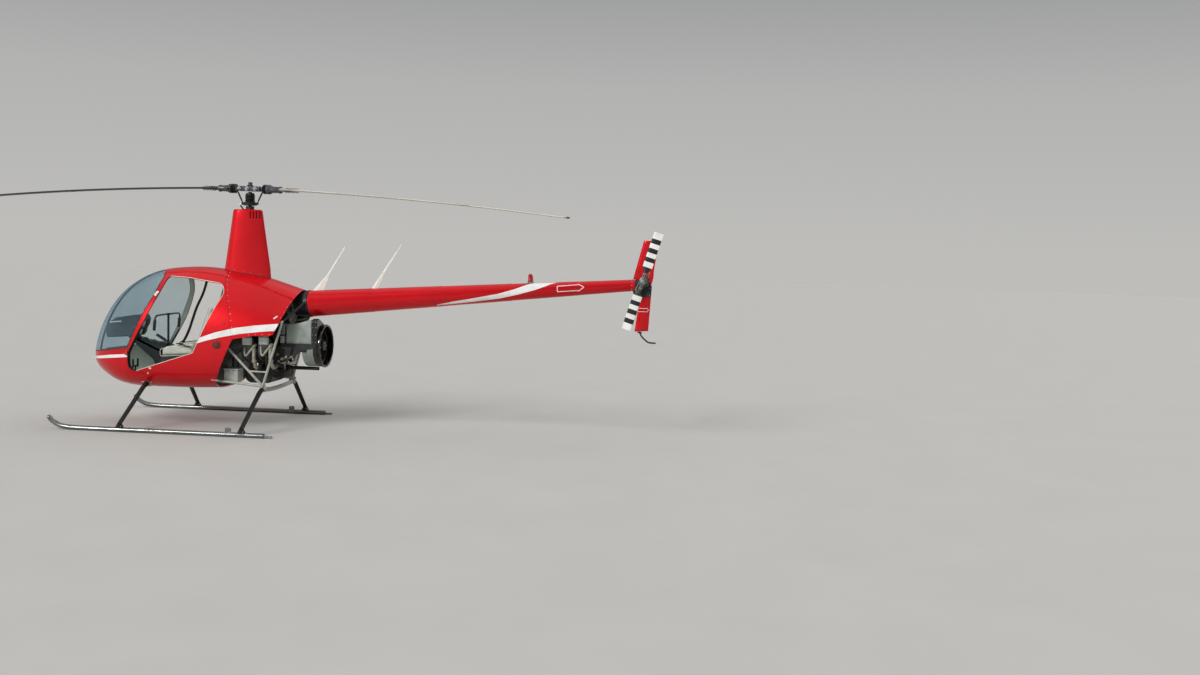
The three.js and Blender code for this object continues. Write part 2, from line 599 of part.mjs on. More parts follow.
// Welded steel tubes that carry the engine and the tail cone, one truss a side
function buildSteelFrame() {
  const r = FRAME_TUBE;
  const tubes = [];
  [-1, 1].forEach((s) => {
    const junction = vec(340, s * 450, 482);
    const diagonalTop = vec(-70, s * 452, 900);
    const strutTop = vec(534, s * 410, 1180);
    const lowerFront = vec(-225, s * 412, 524);
    const tieA = junction.clone().lerp(diagonalTop, 0.38);
    const tieB = junction.clone().lerp(strutTop, 0.22);
    const rearTop = vec(BOOM.x0 - 16, s * 125, 1400);
    tubes.push(
      bars([lowerFront, junction, strutTop, rearTop], r), rod(junction, diagonalTop, r, 8),
      rod(tieA, tieB, r * 0.7, 8), rod(strutTop, vec(120, s * 400, 1090), r * 0.8, 8),
    );
  });
  // Ring frame at the front of the tail cone
  const slope = boomSlope();
  const hoop = new THREE.LatheGeometry([[118, -8], [150, -8], [150, 8], [118, 8], [118, -8]]
    .map(([rr, h]) => new THREE.Vector2(rr, h)), 32);
  hoop.rotateZ(-Math.PI / 2 + Math.PI);
  hoop.rotateY(-slope);
  hoop.translate(BOOM.x0 - 14, 0, BOOM.z0);
  const firewallFace = sideBlock([
    [firewallX(1300) + GAP, 1300, 0], [-FAR, 1300, 0], [-FAR, 0, 0], [firewallX(0) + GAP, 0, 0],
  ]);
  node('steel_frame', cut(join(facingOut(mergeBare(hoop)), ...tubes), firewallFace), 'steel');
}

const boomSlope = () => Math.atan2(BOOM.z1 - BOOM.z0, BOOM.x1 - BOOM.x0);
const boomPoint = (x) => {
  const t = (x - BOOM.x0) / (BOOM.x1 - BOOM.x0);
  return { z: BOOM.z0 + t * (BOOM.z1 - BOOM.z0), radius: BOOM.r0 + t * (BOOM.r1 - BOOM.r0) };
};

function buildTail() {
  const axis = vec(BOOM.x1 - BOOM.x0, 0, BOOM.z1 - BOOM.z0).normalize();
  const [front, rear] = [vec(BOOM.x0, 0, BOOM.z0), vec(BOOM.x1, 0, BOOM.z1)];
  const alongAxis = (point, distance) => point.clone().addScaledVector(axis, distance);
  // Sheet cone with a bulkhead at each end, the front one open for the tail drive shaft
  node('tail_cone', cut(
    rod(front, rear, BOOM.r0, 32, BOOM.r1),
    rod(alongAxis(front, BOOM.wall), alongAxis(rear, -BOOM.wall),
      BOOM.r0 - BOOM.wall, 32, BOOM.r1 - BOOM.wall),
    rod(alongAxis(front, -5), alongAxis(front, BOOM.wall + 5), BOOM.shaftHole, 24),
  ), 'red');

  // Fins stand on a plate at the gearbox's right side, the stabiliser on a stub spar
  const { x, z } = TAIL_ROTOR;
  const plateY = FIN.y - FIN.half - GAP;
  const plate = sidePlate([
    [4325, 1545, 20], [4462, 1560, 20], [4468, 1672, 10], [4400, 1730, 20], [4325, 1730, 20],
  ], plateY - 11, plateY);
  node('tail_gearbox', join(
    rod(rear.clone().addScaledVector(axis, GAP), rear.clone().addScaledVector(axis, 90), 58, 24),
    rod(vec(4330, 0, 1686), vec(4430, 0, 1712), 52, 24, 40),
    rod(vec(4314, 0, 1660), vec(4314, 0, 1571), 44, 20, 36),
    rod(vec(x, 20, z), vec(x, -150, z), 44, 20, 30), rod(vec(x, 60, z), vec(x, 0, z), 40, 20, 46),
    box(4350, 4400, 20, plateY - 5, 1640, 1725),
    rod(vec(SPAR.x, 20, SPAR.z), vec(SPAR.x, SPAR.y, SPAR.z), SPAR.radius, 12), plate,
  ), 'dark');
  node('upper_fin', finBody(UPPER_FIN, FIN.y), 'red');
  node('lower_fin', finBody(LOWER_FIN, FIN.y), 'red');
  const stabiliser = finBody(STABILISER, 0);
  stabiliser.rotateX(-Math.PI / 2);
  stabiliser.translate(0, SPAR.y + GAP, SPAR.z);
  node('horizontal_stabiliser', stabiliser, 'red');
  const skid = bentTube([
    vec(4343, FIN.y, 1192), vec(4382, FIN.y, 1115), vec(4441, FIN.y, 1066), vec(4527, FIN.y, 1058),
  ], 9, 12, 10);
  node('tail_skid', cut(skid, box(4300, 4400, 0, 200, 1178, 1300)), 'dark');

  const beaconFoot = boomPoint(BEACON_X);
  const beaconZ = beaconFoot.z + beaconFoot.radius + 2;
  node('beacon', rod(vec(BEACON_X, 0, beaconZ), vec(BEACON_X - 4, 0, beaconZ + 60), 34, 20, 24), 'lens');
  const clear = rod(front, rear, BOOM.r0 + GAP, 32, BOOM.r1 + GAP);
  ANTENNAS.forEach(({ name, footA, footB, neckX, neckZ, tipX, tipZ }) => {
    const foot = boomPoint(footA).z + boomPoint(footA).radius - 8;
    const blade = sidePlate([
      [footA, foot, 0], [footB, foot, 0], [neckX + 12, neckZ, 0], [neckX - 14, neckZ, 0],
    ], -7, 7);
    const whip = rod(vec(neckX - 2, 0, neckZ - 6), vec(tipX, 0, tipZ), 6, 8, 3);
    node(`antenna_${name}`, cut(join(blade, whip), clear), 'white');
  });
}

// Flat fin with a bevelled edge, its middle at y
function finBody(corners, y) {
  const shape = new THREE.Shape(corners.map(([x, z]) => new THREE.Vector2(x, z)));
  const settings = {
    depth: 8, bevelEnabled: true, bevelThickness: FIN.half - 4, bevelSize: 16, bevelOffset: -16,
    bevelSegments: 2,
  };
  const geometry = new THREE.ExtrudeGeometry(shape, settings);
  geometry.rotateX(Math.PI / 2);
  geometry.translate(0, y + 4, 0);
  return facingOut(mergeBare(geometry));
}

function buildGear() {
  const side = (s) => (s < 0 ? 'left' : 'right');
  // Front cross tube runs straight under the floor, the rear one sags under the engine
  node('cross_tube_front', rod(
    vec(LEG.frontTopX, -LEG.topY, LEG.topZ), vec(LEG.frontTopX, LEG.topY, LEG.topZ), 28, 16,
  ), 'steel');
  const rearTube = bentTube([
    vec(LEG.rearTopX, -LEG.topY - 9, REAR_TUBE.endZ), vec(LEG.rearTopX - 10, -300, 424),
    vec(LEG.rearTopX - 14, 0, REAR_TUBE.midZ), vec(LEG.rearTopX - 10, 300, 424),
    vec(LEG.rearTopX, LEG.topY + 9, REAR_TUBE.endZ),
  ], REAR_TUBE.radius, 14, 12);
  const ends = [box(0, 600, -600, -LEG.topY, 300, 600), box(0, 600, LEG.topY, 600, 300, 600)];
  node('cross_tube_rear', cut(rearTube, ...ends), 'steel');
  [-1, 1].forEach((s) => {
    [
      ['front', LEG.frontTopX, LEG.frontX, LEG.topZ, 30], ['rear', LEG.rearTopX, LEG.rearX, REAR_TUBE.endZ, 24],
    ].forEach(
      ([name, topX, footX, topZ, radius]) => {
        const top = vec(topX, s * (LEG.topY + GAP), topZ);
        const bend = vec(topX, s * (LEG.topY + 34), topZ);
        const foot = vec(footX, s * SKID.y, 2 * SKID.radius + 34);
        const leg = join(
          rod(top, bend, radius, 12), ball(bend, radius, 12), legShape(bend, foot),
          box(footX - 42, footX + 42, s * SKID.y - 18, s * SKID.y + 18, 2 * SKID.radius - 12, 2 * SKID.radius + 30),
        );
        node(`gear_leg_${name}_${side(s)}`, cut(leg, skidTube(s, SKID.radius + GAP)), 'leg');
      },
    );
    node(`skid_${side(s)}`, join(skidTube(s, SKID.radius), wheelLug(s)), 'skid');
  });
}

// Leg of oval section, deep along X, that tapers down to its foot
function legShape(top, foot) {
  const rings = [0, 1].map((t) => {
    const centre = top.clone().lerp(foot, t);
    const [deep, thick] = t === 0 ? [30, 20] : [26, 16];
    const out = foot.clone().sub(top).normalize();
    const across = vec(0, -out.z, out.y).normalize().multiplyScalar(Math.sign(foot.y) || 1);
    const points = [];
    for (let i = 0; i < 12; i += 1) {
      const angle = (2 * Math.PI * i) / 12;
      points.push(centre.clone().add(vec(deep * Math.cos(angle), 0, 0))
        .addScaledVector(across, thick * Math.sin(angle)));
    }
    return points;
  });
  return loft(rings);
}

// Straight tube with its toe bent up and a thin tail
function skidTube(s, radius) {
  const y = s * SKID.y;
  const zc = SKID.radius;
  const toe = bentTube([
    vec(-1815, y, 128), vec(-1760, y, 78), vec(-1690, y, 44), vec(SKID.frontX, y, zc + 5),
    vec(-1500, y, zc + 0.8), vec(-1400, y, zc + 0.1),
  ], radius, 12, 12);
  const straight = rod(vec(-1410, y, zc), vec(SKID.rearX, y, zc), radius, 12);
  const tail = rod(vec(SKID.rearX - 10, y, zc - 9), vec(645, y, zc - 9), radius - 13, 10);
  return join(toe, straight, tail);
}

// Plate on the inner side of a skid, where the ground handling wheels are pinned on
function wheelLug(s) {
  const face = s * (SKID.y - SKID.radius - LUG.proud);
  const root = s * SKID.y;
  return box(LUG.x - LUG.length / 2, LUG.x + LUG.length / 2, Math.min(face, root), Math.max(face, root),
    LUG.lowZ, LUG.topZ);
}

function buildMainRotor() {
  const rotor = new THREE.Group();
  const head = new THREE.Group();
  rotor.rotation.z = THREE.MathUtils.degToRad(ROTOR.azimuth);
  head.position.z = ROTOR.hubZ;
  head.rotation.y = THREE.MathUtils.degToRad(ROTOR.teeter);
  rotor.add(head);
  model.add(rotor);

  node('rotor_shaft', rod(vec(0, 0, 1560), vec(0, 0, 2578), 20, 16), 'alloy', rotor);
  const links = [1, -1].map((s) => rod(vec(s * 96, 0, 2452), vec(s * 104, s * 90, 2600), 7, 8));
  node('swashplate', cut(join(
    rod(vec(0, 0, 2428), vec(0, 0, 2470), 78, 24), rod(vec(0, 0, 2470), vec(0, 0, 2560), 58, 24, 46),
    rod(vec(-110, 0, 2452), vec(110, 0, 2452), 12, 10), ...links,
  ), rod(vec(0, 0, 2400), vec(0, 0, 2600), 24, 20)), 'boot', rotor);

  // Forked hub bar across the mast with its teeter bolt, two coning bolts and two grips
  const boltX = 105;
  node('rotor_hub', join(
    box(-160, 160, -52, 52, -28, 30), rod(vec(0, -78, 0), vec(0, 78, 0), 17, 16),
    rod(vec(0, 0, 30), vec(0, 0, 74), 26, 16, 18),
    ...[-1, 1].flatMap((s) => [
      rod(vec(s * boltX, -74, 0), vec(s * boltX, 74, 0), 15, 16),
      box(Math.min(s * 150, s * 260), Math.max(s * 150, s * 260), -60, 60, -30, 30),
      rod(vec(s * 240, 0, 0), vec(s * (ROTOR.rootR - GAP), 0, -3), 46, 16, 34),
    ]),
  ), 'alloy', head);
  [['fore', Math.PI], ['aft', 0]].forEach(([name, turn]) => {
    const wing = new THREE.Group();
    wing.rotation.z = turn;
    head.add(wing);
    node(`main_blade_${name}`, bladeBody(), 'blade', wing);
  });
}

// Blade with a rounded nose and a thin tail, drooping as it does at rest
function bladeBody() {
  const { radius, rootR, chord, thickness, droop } = ROTOR;
  const slope = Math.tan(THREE.MathUtils.degToRad(ROTOR.coning));
  const stations = [rootR, 520, 700, 1400, 2100, 2800, 3400, radius];
  const profile = [
    // along the chord, half thickness
    [0, 0], [0.02, 0.42], [0.1, 0.86], [0.28, 1], [0.55, 0.72], [0.85, 0.24], [1, 0.06],
  ];
  const rings = stations.map((r) => {
    const wide = chord * (r < 500 ? 0.62 : 1);
    const thick = thickness * (r < 500 ? 1.4 : 1);
    const z = -droop * (r * r - rootR * rootR) + slope * (r - rootR);
    const upper = profile.map(([c, t]) => vec(r, (0.25 - c) * wide, z + (t * thick) / 2));
    const lower = profile.slice(1).reverse().map(([c, t]) => vec(r, (0.25 - c) * wide, z - (t * thick) / 2));
    return [...upper, ...lower];
  });
  return loft(rings);
}

function buildTailRotor() {
  const { x, y, z, radius, chord, thickness, lean } = TAIL_ROTOR;
  const rotor = new THREE.Group();
  rotor.position.set(x, y, z);
  rotor.rotation.y = THREE.MathUtils.degToRad(lean);
  model.add(rotor);
  node('tail_rotor_hub', join(
    rod(vec(0, 112, 0), vec(0, -30, 0), 17, 16), box(-30, 30, -16, 16, -95, 95),
    rod(vec(0, -14, 0), vec(0, -46, 0), 30, 16, 20), rod(vec(0, 62, 0), vec(0, 84, 0), 42, 20),
  ), 'alloy', rotor);
  [['upper', 1], ['lower', -1]].forEach(([name, s]) => {
    const half = chord / 2;
    const rings = [95 + GAP, 150, 190, radius].map((r) => {
      const wide = r < 160 ? 0.5 : 1;
      return [[-1, 0.1], [-0.8, 0.7], [-0.3, 1], [0.4, 0.7], [1, 0.1], [1, -0.1], [0.4, -0.7],
        [-0.3, -1], [-0.8, -0.7], [-1, -0.1]]
        .map(([c, t]) => vec(c * half * wide * s, (t * thickness) / 2, s * r));
    });
    node(`tail_blade_${name}`, loft(rings), 'white', rotor);
  });
}

function buildLamps() {
  [['left', -1, 'lens'], ['right', 1, 'greenLens']].forEach(([side, s, colour]) => {
    const lamp = new THREE.SphereGeometry(37, 12, 8).scale(1, 0.45, 1).translate(-140, s * 552, 922);
    node(`nav_light_${side}`, cut(lamp, skinBody(-GAP)), colour);
  });
}

buildFuselage();
buildCabinInside();
buildMast();
buildEngine();
buildCooling();
buildFan();
buildSteelFrame();
buildTail();
buildGear();
buildMainRotor();
buildTailRotor();
buildLamps();

const helicopter = new THREE.Group();
model.position.set(-ORIGIN_X, 0, 0);
helicopter.add(model);

export default helicopter;
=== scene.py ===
# Two-seat piston helicopter standing on its skids with its doors off.
# Sizes are millimetres from the rotor mast at ground level: X aft, Y to starboard, Z up.
# Shape.done turns them into the frame's metres.

import math
from functools import cache

import bmesh
import bpy
import numpy as np
from bpy.props import FloatProperty, FloatVectorProperty, PointerProperty
from bpy.types import Operator, Panel, PropertyGroup
from mathutils import Matrix, Vector


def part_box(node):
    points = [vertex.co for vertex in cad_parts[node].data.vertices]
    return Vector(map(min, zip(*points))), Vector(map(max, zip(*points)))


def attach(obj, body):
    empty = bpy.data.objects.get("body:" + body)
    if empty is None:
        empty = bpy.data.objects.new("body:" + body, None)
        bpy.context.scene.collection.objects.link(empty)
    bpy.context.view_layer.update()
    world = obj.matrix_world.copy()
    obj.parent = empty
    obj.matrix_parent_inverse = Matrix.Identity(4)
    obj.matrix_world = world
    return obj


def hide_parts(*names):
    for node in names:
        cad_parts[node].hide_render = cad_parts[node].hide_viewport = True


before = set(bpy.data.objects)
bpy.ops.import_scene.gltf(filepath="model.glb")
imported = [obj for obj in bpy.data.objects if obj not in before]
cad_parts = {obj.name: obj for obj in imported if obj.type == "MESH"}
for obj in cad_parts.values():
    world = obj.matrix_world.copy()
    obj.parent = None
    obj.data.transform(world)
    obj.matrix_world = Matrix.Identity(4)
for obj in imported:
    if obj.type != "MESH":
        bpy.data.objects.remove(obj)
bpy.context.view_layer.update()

bl_info = {
    "name": "Two-seat helicopter",
    "version": (1, 0, 0),
    "blender": (4, 5, 0),
    "location": "3D View > Sidebar > Helicopter",
    "description": "Builds the finished pieces of a light two-seat helicopter round its frame",
    "category": "Add Mesh",
}

MM = 0.001
MAST_X = (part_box("rotor_shaft")[0].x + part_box("rotor_shaft")[1].x) / 2
TO_FRAME = Matrix.Translation((MAST_X, 0, 0)) @ Matrix.Scale(MM, 4)
SIDES = (("left", -1), ("right", 1))
AFT, STARBOARD, PORT, UP, DOWN = (1, 0, 0), (0, 1, 0), (0, -1, 0), (0, 0, 1), (0, 0, -1)
WAVE_TURN = math.pi / 10  # a wave texture of scale 1 repeats every tenth of pi


def linear(hex_colour):
    """An sRGB hex colour as linear red, green, blue and alpha."""
    parts = [int(hex_colour[i:i + 2], 16) / 255 for i in (0, 2, 4)]
    return tuple(p / 12.92 if p <= 0.04045 else ((p + 0.055) / 1.055) ** 2.4
        for p in parts) + (1.0,)


def shade(colour, by):
    """A linear colour made darker, or lighter by more than 1."""
    return tuple(min(1.0, c * by) for c in colour[:3]) + (1.0,)


# Outlines and curves


def rounded(corners, step=24.0, closed=True):
    """An outline with an arc at each corner. A row is (across, up, radius)."""
    points = []
    count = len(corners)
    for i, (x, z, radius) in enumerate(corners):
        here = Vector((x, z))
        if radius <= 0 or (not closed and i in (0, count - 1)):
            points.append((x, z))
            continue
        before = Vector(corners[i - 1][:2]) - here
        after = Vector(corners[(i + 1) % count][:2]) - here
        half = before.angle(after) / 2
        reach = min(radius / math.tan(half), 0.48 * before.length, 0.48 * after.length)
        centre = here + (before.normalized()
            + after.normalized()).normalized() * reach / math.cos(half)
        start = here + before.normalized() * reach - centre
        sweep = start.angle_signed(here + after.normalized() * reach - centre)
        pieces = max(2, math.ceil(abs(sweep) * start.length / step))
        for k in range(pieces + 1):
            turned = Matrix.Rotation(-sweep * k / pieces, 2) @ start + centre
            points.append((turned.x, turned.y))
    return points


def smooth(points, pieces):
    """Points on a Catmull-Rom curve through the given ones."""
    rows = [Vector(p) for p in (points[0], *points, points[-1])]
    made = []
    for a, b, c, d in zip(rows, rows[1:], rows[2:], rows[3:]):
        for k in range(pieces):
            t = k / pieces
            made.append(0.5 * (2 * b + (c - a) * t + (2 * a - 5 * b + 4 * c - d) * t ** 2
                + (3 * b - a - 3 * c + d) * t ** 3))
    return made + [rows[-1]]


def grown(outline, by):
    """A closed outline moved out by a distance, or in by a negative one."""
    area = sum(x0 * z1 - x1 * z0 for (x0, z0), (x1, z1) in zip(outline, outline[1:] + outline[:1]))
    side = 1 if area > 0 else -1
    made = []
    for i, (x, z) in enumerate(outline):
        before = Vector((x, z)) - Vector(outline[i - 1])
        after = Vector(outline[(i + 1) % len(outline)]) - Vector((x, z))
        normals = [Vector((d.y, -d.x)).normalized() * side for d in (before, after)
            if d.length > 1e-6]
        normal = sum(normals, Vector((0, 0))).normalized()
        spread = max(0.5, normal.dot(normals[0]))
        made.append((x + normal.x * by / spread, z + normal.y * by / spread))
    return made


def turns(count):
    """Angles spread evenly round a circle."""
    return [2 * math.pi * i / count for i in range(count)]


def circle(radius, sides):
    """Section of a round bar as (side, up) pairs."""
    return [(radius * math.cos(a), radius * math.sin(a)) for a in turns(sides)]


def strip(half, low, high):
    """Section of a flat bar as (side, up) pairs."""
    return [(-half, low), (half, low), (half, high), (-half, high)]


def rect(x0, z0, x1, z1, radius, step):
    """Outline of a rectangle with one radius for its corners, or one for each from (x0, z0)."""
    radii = radius if isinstance(radius, tuple) else (radius,) * 4
    places = (x0, z0), (x1, z0), (x1, z1), (x0, z1)
    return rounded([(x, z, r) for (x, z), r in zip(places, radii)], step)


def lerp(a, b, t):
    return Vector(a).lerp(Vector(b), t)


class Shape:
    """The closed bodies of one piece, in millimetres from the mast at ground level."""

    def __init__(self):
        self.mesh = bmesh.new()
        self.finish = 0

    def using(self, finish):
        """What is added next takes this one of the piece's finishes."""
        self.finish = finish
        return self

    def face(self, corners):
        made = self.mesh.faces.new(corners)
        made.material_index = self.finish

    def loft(self, rings, joined=False, ends=True, paint=None):
        """Skin through rings of points, one point for a pole. paint(ring, side) picks a finish."""
        rows = [[self.mesh.verts.new(p) for p in ring] for ring in rings]
        pairs = list(zip(rows, rows[1:] + rows[:1]))
        for k, (a, b) in enumerate(pairs if joined else pairs[:-1]):
            count = max(len(a), len(b))
            for i in range(count):
                j = (i + 1) % count
                if paint:
                    self.finish = paint(k, i)
                if len(a) == 1:
                    self.face((a[0], b[j], b[i]))
                elif len(b) == 1:
                    self.face((a[i], a[j], b[0]))
                else:
                    self.face((a[i], a[j], b[j], b[i]))
        if not joined and ends:
            for row in (rows[0], rows[-1]):
                if len(row) > 2:
                    self.face(row)
        return self

    def lathe(self, profile, start, axis, sides, joined=False):
        """Turn rows of (distance along the axis, radius) about the axis."""
        start = Vector(start)
        turn = Vector(UP).rotation_difference(Vector(axis)).to_matrix()
        rings = []
        for along, radius in profile:
            if radius < 0.01:
                rings.append([start + turn @ Vector((0, 0, along))])
                continue
            rings.append([start + turn @ Vector((x, y, along)) for x, y in circle(radius, sides)])
        return self.loft(rings, joined)

    def rod(self, a, b, radius, end=None, sides=16, chamfer=0.0):
        """Round bar between two points, tapered to the end radius."""
        end = radius if end is None else end
        length = (Vector(b) - Vector(a)).length
        profile = [(0, radius), (length, end)]
        if chamfer:
            profile = [(0, radius - chamfer), (chamfer, radius), (length - chamfer, end),
                (length, end - chamfer)]
        return self.lathe(profile, a, Vector(b) - Vector(a), sides)

    def sweep(self, path, section, up=None, joined=False, scale=None):
        """Carry (side, up) pairs along a path. up holds them level, or they ride untwisted."""
        path = [Vector(p) for p in path]
        count = len(path)
        rings = []
        lift = None
        for i, point in enumerate(path):
            if joined:
                ahead = path[(i + 1) % count] - path[i - 1]
            else:
                ahead = path[min(i + 1, count - 1)] - path[max(i - 1, 0)]
            ahead.normalize()
            wish = up[i] if isinstance(up, list) else up
            if wish is None:
                wish = lift or ahead.orthogonal()
            side = ahead.cross(Vector(wish)).normalized()
            lift = side.cross(ahead).normalized()
            size = scale(i / (count - 1)) if scale else 1.0
            rings.append([point + side * s * size + lift * u * size for s, u in section])
        return self.loft(rings, joined)

    def tube(self, points, radius, sides, pieces=6, scale=None):
        """Smooth bent tube through a few points."""
        return self.sweep(smooth(points, pieces), circle(radius, sides), scale=scale)

    def ball(self, centre, radius, sides):
        """Round knob."""
        angles = [math.pi * i / (sides // 2) for i in range(sides // 2 + 1)]
        profile = [(-radius * math.cos(a), radius * math.sin(a)) for a in angles]
        return self.lathe(profile, centre, UP, sides)

    def block(self, low, high, bevel, segments=2):
        """Rectangular block with rounded edges."""
        low, high = Vector(low), Vector(high)
        middle, size = (low + high) / 2, high - low
        made = bmesh.ops.create_cube(self.mesh, size=1.0)["verts"]
        place = Matrix.Translation(middle) @ Matrix.Diagonal((*size, 1))
        bmesh.ops.transform(self.mesh, matrix=place, verts=made)
        edges = list(dict.fromkeys(e for v in made for e in v.link_edges))
        for f in dict.fromkeys(f for v in made for f in v.link_faces):
            f.material_index = self.finish
        if bevel:
            bmesh.ops.bevel(self.mesh, geom=edges, offset=bevel, segments=segments, profile=0.5,
                affect="EDGES", clamp_overlap=True)
        return self

    def plate(self, outline, low, high, bevel, place=None):
        """Outline of (across, up) pairs given a thickness along Y, or as place says."""
        place = place or (lambda u, v, w: (u, w, v))
        steps = [(low, -bevel), (low + bevel, 0), (high - bevel, 0), (high, -bevel)]
        if not bevel:
            steps = [(low, 0), (high, 0)]
        return self.loft([[place(u, v, w) for u, v in grown(outline, by)] for w, by in steps])

    def bolt(self, at, axis, across, height):
        """Hexagon head on a washer, its axis pointing out of the surface."""
        at, axis = Vector(at), Vector(axis).normalized()
        self.lathe([(0, across * 0.78), (across * 0.14, across * 0.78)], at, axis, 16)
        foot = at + axis * across * 0.13
        radius = across / math.sqrt(3)
        profile = [(0, radius), (height * 0.8, radius), (height, radius * 0.86)]
        return self.lathe(profile, foot, axis, 6)

    def data(self, name, place=None):
        """The collected bodies as mesh data in the frame. place is a matrix in millimetres."""
        bmesh.ops.recalc_face_normals(self.mesh, faces=self.mesh.faces)
        return released(self.mesh, name, TO_FRAME @ (place or Matrix.Identity(4)))

    def done(self, name, finishes, body="airframe", slot=None, replaces=(), place=None,
            sharp=32.0):
        """Make the piece's object from what was collected."""
        return settle(name, self.data(name, place), finishes, body, slot, replaces, sharp)


def released(mesh, name, matrix):
    """Move a bmesh by a matrix and turn it into mesh data."""
    bmesh.ops.transform(mesh, matrix=matrix, verts=mesh.verts)
    data = bpy.data.meshes.new(name)
    mesh.to_mesh(data)
    mesh.free()
    return data


def linked(name, data):
    """A new object of the scene that holds the data."""
    made = bpy.data.objects.new(name, data)
    bpy.context.scene.collection.objects.link(made)
    return made


def walled(name, data, thickness):
    """A sheet's working object and the modifier that gives it a wall, in millimetres, inwards."""
    shell = linked(name, data)
    wall = shell.modifiers.new("wall", "SOLIDIFY")
    wall.thickness = thickness * MM
    wall.offset = -1.0
    return shell, wall


def settle(name, data, finishes, body="airframe", slot=None, replaces=(), sharp=32.0):
    """Link a finished mesh as a piece that rides on a body."""
    piece = linked(name, data)
    if not data.materials:
        for finish in finishes:
            data.materials.append(finish)
    data.shade_smooth()
    data.set_sharp_from_angle(angle=math.radians(sharp))
    if replaces:
        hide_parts(*replaces)
    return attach(piece, body)


def applied(piece, keep=False):
    """The object's mesh with its modifiers carried out. The object goes, unless it is kept."""
    seen = piece.evaluated_get(bpy.context.evaluated_depsgraph_get())
    made = bpy.data.meshes.new_from_object(seen)
    if not keep:
        bpy.data.objects.remove(piece)
    return made


# Finishes


def add(tree, kind, inputs=(), stops=(), **settings):
    """Add one node. inputs are values or sockets that feed it, stops a colour ramp's colours."""
    made = tree.nodes.new(kind)
    for name, value in settings.items():
        setattr(made, name, value)
    for key, value in dict(inputs).items():
        if isinstance(value, bpy.types.NodeSocket):
            tree.links.new(value, made.inputs[key])
        else:
            made.inputs[key].default_value = value
    if stops:
        ramp = made.color_ramp
        while len(ramp.elements) < len(stops):
            ramp.elements.new(1.0)
        for element, (position, colour) in zip(ramp.elements, stops):
            element.position = position
            element.color = colour if isinstance(colour, tuple) else (colour, colour, colour, 1.0)
    return made


def per_metre(size_mm):
    """A texture's scale on coordinates in metres, from the real size of its pattern."""
    return 1.0 / (size_mm * MM)


def blank(name):
    """An empty material with its output and the coordinates of its object."""
    material = bpy.data.materials.new(name)
    material.use_nodes = True
    tree = material.node_tree
    tree.nodes.clear()
    output = add(tree, "ShaderNodeOutputMaterial")
    place = add(tree, "ShaderNodeTexCoord").outputs["Object"]
    return material, tree, output, place


def mixed(tree, share, first, second):
    """Blend two colours by a share that a socket gives."""
    blend = add(tree, "ShaderNodeMix", data_type="RGBA")
    for socket, value in zip((blend.inputs[0], blend.inputs[6], blend.inputs[7]),
            (share, first, second)):
        if isinstance(value, bpy.types.NodeSocket):
            tree.links.new(value, socket)
        else:
            socket.default_value = value
    return blend.outputs[2]


def surface(name, tones, patch_mm, rough, metallic=0.0, grain=None, stain=None, stretch=(1, 1, 1),
        bands=None, **shader):
    """A finish whose colour drifts between two tones over patches of patch_mm.

    rough is its least and most roughness, grain its bump as (size in mm, depth in mm), stain a
    second colour as (tone, size in mm, share of the surface, roughness), bands fine parallel
    lines as (spacing in mm, depth in mm, axis) and shader the shader's own sockets.
    """
    material, tree, output, place = blank(name)
    place = add(tree, "ShaderNodeMapping", {"Vector": place, "Scale": stretch}).outputs["Vector"]
    drift = add(tree, "ShaderNodeTexNoise", {"Vector": place, "Scale": per_metre(patch_mm),
        "Detail": 5.0, "Roughness": 0.6}).outputs["Fac"]
    low, high = (tone if isinstance(tone, tuple) else linear(tone) for tone in tones)
    colour = add(tree, "ShaderNodeValToRGB", {"Fac": drift},
        stops=[(0.32, low), (0.68, high)]).outputs["Color"]
    gloss = add(tree, "ShaderNodeMapRange", {"Value": drift, "From Min": 0.3, "From Max": 0.7,
        "To Min": rough[0], "To Max": rough[1]}).outputs["Result"]
    if stain:
        tone, size, share, stain_rough = stain
        spread = add(tree, "ShaderNodeTexNoise", {"Vector": place, "Scale": per_metre(size),
            "Detail": 8.0, "Roughness": 0.7}).outputs["Fac"]
        edge = 0.5 + 0.24 * (1 - 2 * share)
        mask = add(tree, "ShaderNodeMapRange", {"Value": spread, "From Min": edge - 0.06,
            "From Max": edge + 0.06}).outputs["Result"]
        colour = mixed(tree, mask, colour, linear(tone))
        gloss = add(tree, "ShaderNodeMapRange", {"Value": mask, "To Min": gloss,
            "To Max": stain_rough}).outputs["Result"]
    inputs = {"Base Color": colour, "Roughness": gloss, "Metallic": metallic, **shader}
    height = None
    if grain:
        fine = add(tree, "ShaderNodeTexNoise", {"Vector": place, "Scale": per_metre(grain[0]),
            "Detail": 3.0})
        height = add(tree, "ShaderNodeBump", {"Height": fine.outputs["Fac"],
            "Distance": grain[1] * MM, "Strength": 1.0}).outputs["Normal"]
    if bands:
        spacing, depth, axis = bands
        lines = add(tree, "ShaderNodeTexWave",
            {"Vector": place, "Scale": per_metre(spacing) * WAVE_TURN}, bands_direction=axis)
        feed = {"Height": lines.outputs["Fac"], "Distance": depth * MM, "Strength": 1.0}
        if height:
            feed["Normal"] = height
        height = add(tree, "ShaderNodeBump", feed).outputs["Normal"]
    if height:
        inputs["Normal"] = height
    shaded = add(tree, "ShaderNodeBsdfPrincipled", inputs)
    tree.links.new(shaded.outputs["BSDF"], output.inputs["Surface"])
    return material


